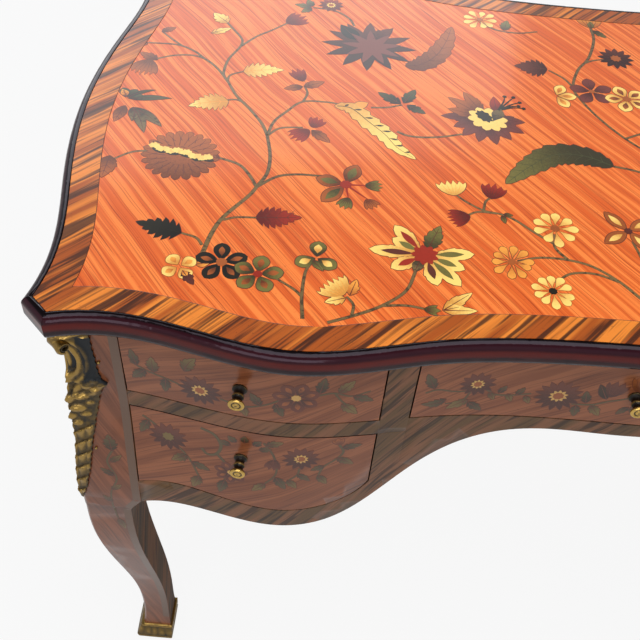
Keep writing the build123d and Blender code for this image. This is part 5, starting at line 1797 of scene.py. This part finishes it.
def mount_grids(leg, end, side):
    """A mount's points on its face and on its back, and how bright each is painted (wear and patina, with
    painted shade in its hollows), in rows from the top down.
    """
    corner_way = Vector((end, side, 0)) / math.sqrt(2)
    outer, inner, heights, dark_ground = [], [], [], []
    for i in range(MOUNT_ROWS + 1):
        v = MOUNT_PROFILE[0][0] + 298.4 * i / MOUNT_ROWS
        z = MOUNT_TOP - v * MM
        x, y = leg_faces(leg, end, side, z)
        out, on_end, on_front = along_profile(MOUNT_PROFILE, v)
        nibble = 1.3 * abs(math.sin(v / 9.5 * math.pi))
        on_end, on_front = max(2, on_end - nibble), max(2, on_front - nibble)
        crest = Vector((x + end * out * MM, y + side * out * MM, z))
        ends = (
            Vector((x + end * MOUNT_LIP * MM, y - side * on_end * MM, z)),
            Vector((x - end * on_front * MM, y + side * MOUNT_LIP * MM, z)),
        )
        for grid in (outer, inner, heights, dark_ground):
            grid.append([])
        for j in range(MOUNT_COLUMNS + 1):
            t = 2 * j / MOUNT_COLUMNS - 1
            away = (math.sqrt(t * t + 0.02) - 0.1414) / (math.sqrt(1.02) - 0.1414)
            limit = ends[1] if t > 0 else ends[0]
            face_way = Vector((0, side, 0)) if t > 0 else Vector((end, 0, 0))
            normal = corner_way.lerp(face_way, abs(t)).normalized()
            u = t * (on_front if t > 0 else on_end)
            high = 1.35 * mount_relief(u, v) * min(1, (1 - abs(t)) * 5 + 0.15)
            outer[-1].append(crest.lerp(limit, away) + normal * high * MM)
            inner[-1].append(Vector((x, y, z)).lerp(limit, abs(t)) - normal * MOUNT_BACK * MM)
            heights[-1].append(high)
            dark_ground[-1].append(CARTOUCHE[0] < v < CARTOUCHE[1] and u > 17)
    # the ground beside the cartouche on the front side is given a much darker tone
    tones = [[tone * 0.35 if dark else max(tone, 0.3) for tone, dark in zip(*rows)]
             for rows in zip(hollows(heights), dark_ground)]
    return outer, inner, tones


class DESK_OT_mounts(bpy.types.Operator):
    """Sculpts the gilt bronze mounts on the corners of the legs"""

    bl_idname = "desk.mounts"
    bl_label = "Corner mounts"

    def execute(self, context):
        bronze = bpy.data.materials["chased_bronze"]
        for corner, (end, side) in CORNERS.items():
            leg = surface_of(f"leg_{corner}")
            bm = shell_mesh(*mount_grids(leg, end, side))
            bmesh.ops.recalc_face_normals(bm, faces=bm.faces)
            x, y = leg_faces(leg, end, side, SCROLL_SEAT)
            outwards, across = [Vector((way * end, side, 0)) / math.sqrt(2) for way in (1, -1)]
            centre = Vector((x, y, SCROLL_HEIGHT)) + outwards * SCROLL_OUT
            add_scroll(bm, centre, outwards, across, SCROLL_RADIUS, SCROLL_LENGTH)
            relief = bm.verts.layers.float_color["relief"]
            for v, u in MOUNT_PINS:
                z = MOUNT_TOP - v * MM
                start = Vector((leg_faces(leg, end, side, z)[0] - end * u * MM, side * OUTSIDE, z))
                spot, normal = leg.ray_cast(start, Vector((0, -side, 0)))[:2]
                head = bmesh.ops.create_uvsphere(bm, u_segments=20, v_segments=12, radius=PIN_RADIUS,
                                                 matrix=facing(spot + normal * 0.0009, normal))
                # the pin heads get the brightest tone: wear, and a painted highlight
                for vert in head["verts"]:
                    vert[relief] = (1.0, 0.0, 0.0, 1.0)
            piece = finish_mesh(f"bronze_mount_{corner}", bm, [bronze], SOFT_BRONZE)
            settle(piece, "carcass", "gilt_bronze", f"corner_mount_{corner}")
        return {"FINISHED"}


# ---------------------------------------------------------------- shoes
SABOT_HEIGHT, SABOT_FOOT = 0.028, 0.0004  # its top, and how far it clears the floor
SABOT_ROWS, SABOT_COLUMNS = 60, 144


def sabot_relief(height, angle):
    """Chased relief of a shoe: a bead at the floor, flutes, and a bead at the top; in millimetres."""
    if height < 6:
        return math.sin(math.pi * height / 6)
    if height < 24:
        return 0.9 * abs(math.cos(angle * 8)) ** 0.6 * math.sin(math.pi * (height - 6) / 18) ** 0.5
    return math.sin(math.pi * (height - 24) / 4) if height < 28 else 0.0


def sabot_grids(corner):
    """A shoe's points on its face and on its inside, and how bright each is painted, lighter on the raised
    chasing and darker between it, for wear and as painted shade, in rows from the floor up.
    """
    shoe = surface_of(f"leg_{corner}", f"foot_sabot_{corner}")
    bare = surface_of(f"leg_{corner}")
    low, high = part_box(f"foot_sabot_{corner}")
    outer, inner, tones = [], [], []
    for i in range(SABOT_ROWS + 1):
        z = max(SABOT_FOOT, SABOT_HEIGHT * (i / SABOT_ROWS))
        middle = Vector(((low[0] + high[0]) / 2, (low[1] + high[1]) / 2, z))
        for grid in (outer, inner, tones):
            grid.append([])
        for j in range(SABOT_COLUMNS):
            angle = math.tau * j / SABOT_COLUMNS
            ray = Vector((math.cos(angle), math.sin(angle), 0))
            reach = (shoe.ray_cast(middle + ray * 0.1, -ray)[0] - middle).dot(ray)
            chased = sabot_relief(z / MM, angle)
            outer[-1].append(middle + ray * (reach + chased * MM))
            wood = bare.ray_cast(middle + ray * 0.1, -ray)[0]
            fit = min(reach - 0.001, (wood - middle).dot(ray) - 0.0004) if wood else reach - 0.003
            inner[-1].append(middle + ray * fit)
            # lighter on the raised chasing, darker in the flutes: wear, and painted shade
            tones[-1].append(min(1, 0.25 + chased * 0.5))
    return outer, inner, tones


class DESK_OT_sabots(bpy.types.Operator):
    """Sculpts the fluted bronze shoes of the feet"""

    bl_idname = "desk.sabots"
    bl_label = "Sabots"

    def execute(self, context):
        bronze = bpy.data.materials["chased_bronze"]
        for corner in CORNERS:
            bm = shell_mesh(*sabot_grids(corner), closed=True)
            relief = bm.verts.layers.float_color["relief"]
            for vert in bm.verts:
                if vert.co.z > SABOT_HEIGHT - FLUSH:
                    vert[relief] = (0.8, 0.0, 0.0, 1.0)
            bmesh.ops.recalc_face_normals(bm, faces=bm.faces)
            piece = finish_mesh(f"bronze_sabot_{corner}", bm, [bronze], SOFT_BRONZE)
            settle(piece, "carcass", "gilt_bronze", f"foot_sabot_{corner}")
        return {"FINISHED"}


# ---------------------------------------------------------------- knobs
# A knob turned about its axis, in millimetres: distance from the drawer and radius, with how bright it is
# painted: wear, with a painted highlight on the head's face and a painted dark reflection on the neck.
KNOB_PROFILE = (
    (-0.6, 6.8, 0.1), (0.8, 7.4, 0.2), (1.8, 7.2, 0.3), (2.6, 5.8, 0.0), (4.4, 4.9, 0.0), (6.6, 4.7, 0.0),
    (7.8, 5.4, 0.2), (8.8, 6.0, 0.6), (9.8, 6.0, 0.5), (10.8, 5.2, 0.0), (12.2, 4.6, 0.0), (14.0, 5.0, 0.0),
    (15.8, 6.6, 0.1), (17.2, 8.0, 0.4), (18.4, 8.3, 0.9), (19.4, 7.8, 1.0), (19.9, 6.6, 1.0), (19.5, 5.0, 0.8),
    (18.9, 4.2, 0.0), (19.4, 3.4, 0.7), (20.2, 1.9, 1.0), (19.8, 0.9, 0.5),
)
KNOB_LENGTH = 20.2
KNOB_SIDES = 48


def knob_axis(node):
    """Direction in which a knob points, away from its drawer."""
    points = [v.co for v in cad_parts[node].data.vertices]
    far, near = min(p.y for p in points), max(p.y for p in points)
    tip = [p for p in points if p.y < far + 0.0008]
    base = [p for p in points if p.y > near - 0.003]
    way = sum(tip, Vector()) / len(tip) - sum(base, Vector()) / len(base)
    way.z = 0
    return way.normalized()


class DESK_OT_knobs(bpy.types.Operator):
    """Turns the brass knobs of the drawers"""

    bl_idname = "desk.knobs"
    bl_label = "Knobs"

    def execute(self, context):
        brass = bpy.data.materials["antique_brass"]
        for drawer in DRAWERS:
            node = f"{drawer}_drawer_knob"
            low, high = [Vector(point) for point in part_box(node)]
            front = surface_of(f"{drawer}_drawer_front")
            at = (low + high) / 2
            hit = front.ray_cast(Vector((at.x, -0.5, at.z + 0.006)), Vector((0, 1, 0)))[0]
            axis = knob_axis(node)
            start = at + axis * (hit - at).dot(axis)
            length = max((v.co - start).dot(axis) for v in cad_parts[node].data.vertices)
            side = axis.cross(Vector((0, 0, 1))).normalized()
            up = side.cross(axis)
            bm = bmesh.new()
            relief = bm.verts.layers.float_color.new("relief")
            rings = []
            for out, radius, wear_and_light in KNOB_PROFILE:
                ring = []
                for i in range(KNOB_SIDES):
                    angle = math.tau * i / KNOB_SIDES
                    way = side * math.cos(angle) + up * math.sin(angle)
                    vert = bm.verts.new(start + axis * (out / KNOB_LENGTH * length) + way * radius * MM)
                    vert[relief] = (wear_and_light, 0.0, 0.0, 1.0)
                    ring.append(vert)
                rings.append(ring)
            for ring, after in zip(rings, rings[1:]):
                for i in range(KNOB_SIDES):
                    k = (i + 1) % KNOB_SIDES
                    bm.faces.new((ring[i], ring[k], after[k], after[i]))
            for ring in (rings[0], rings[-1]):
                bm.faces.new(ring)
            bmesh.ops.recalc_face_normals(bm, faces=bm.faces)
            piece = finish_mesh(f"brass_knob_{drawer}", bm, [brass], SOFT_BRASS)
            settle(piece, f"drawer_{drawer}", "knob_brass", node)
        return {"FINISHED"}


# ---------------------------------------------------------------- panel
class DESK_PT_panel(bpy.types.Panel):
    """Shows the desk's sizes and colours, and a button for each group of its pieces"""

    bl_label = "Writing desk"
    bl_idname = "DESK_PT_panel"
    bl_space_type = "VIEW_3D"
    bl_region_type = "UI"
    bl_category = "Desk"

    def draw(self, context):
        for name in finish().bl_rna.properties.keys():
            if name not in ("rna_type", "name"):
                self.layout.prop(finish(), name)
        for operator in OPERATORS:
            self.layout.operator(operator.bl_idname)


OPERATORS = (
    DESK_OT_stage, DESK_OT_veneers, DESK_OT_marquetry, DESK_OT_stringing, DESK_OT_leg_strips, DESK_OT_mounts,
    DESK_OT_sabots, DESK_OT_knobs,
)
CLASSES = (DeskFinish, *OPERATORS, DESK_PT_panel)


def register():
    for item in CLASSES:
        bpy.utils.register_class(item)
    bpy.types.Scene.desk_finish = PointerProperty(type=DeskFinish)


def unregister():
    del bpy.types.Scene.desk_finish
    for item in reversed(CLASSES):
        bpy.utils.unregister_class(item)


def main():
    register()
    bpy.ops.desk.stage()
    bpy.ops.desk.veneers()
    bpy.ops.desk.marquetry()
    bpy.ops.desk.stringing()
    bpy.ops.desk.leg_strips()
    bpy.ops.desk.mounts()
    bpy.ops.desk.sabots()
    bpy.ops.desk.knobs()


if __name__ == "__main__":
    main()
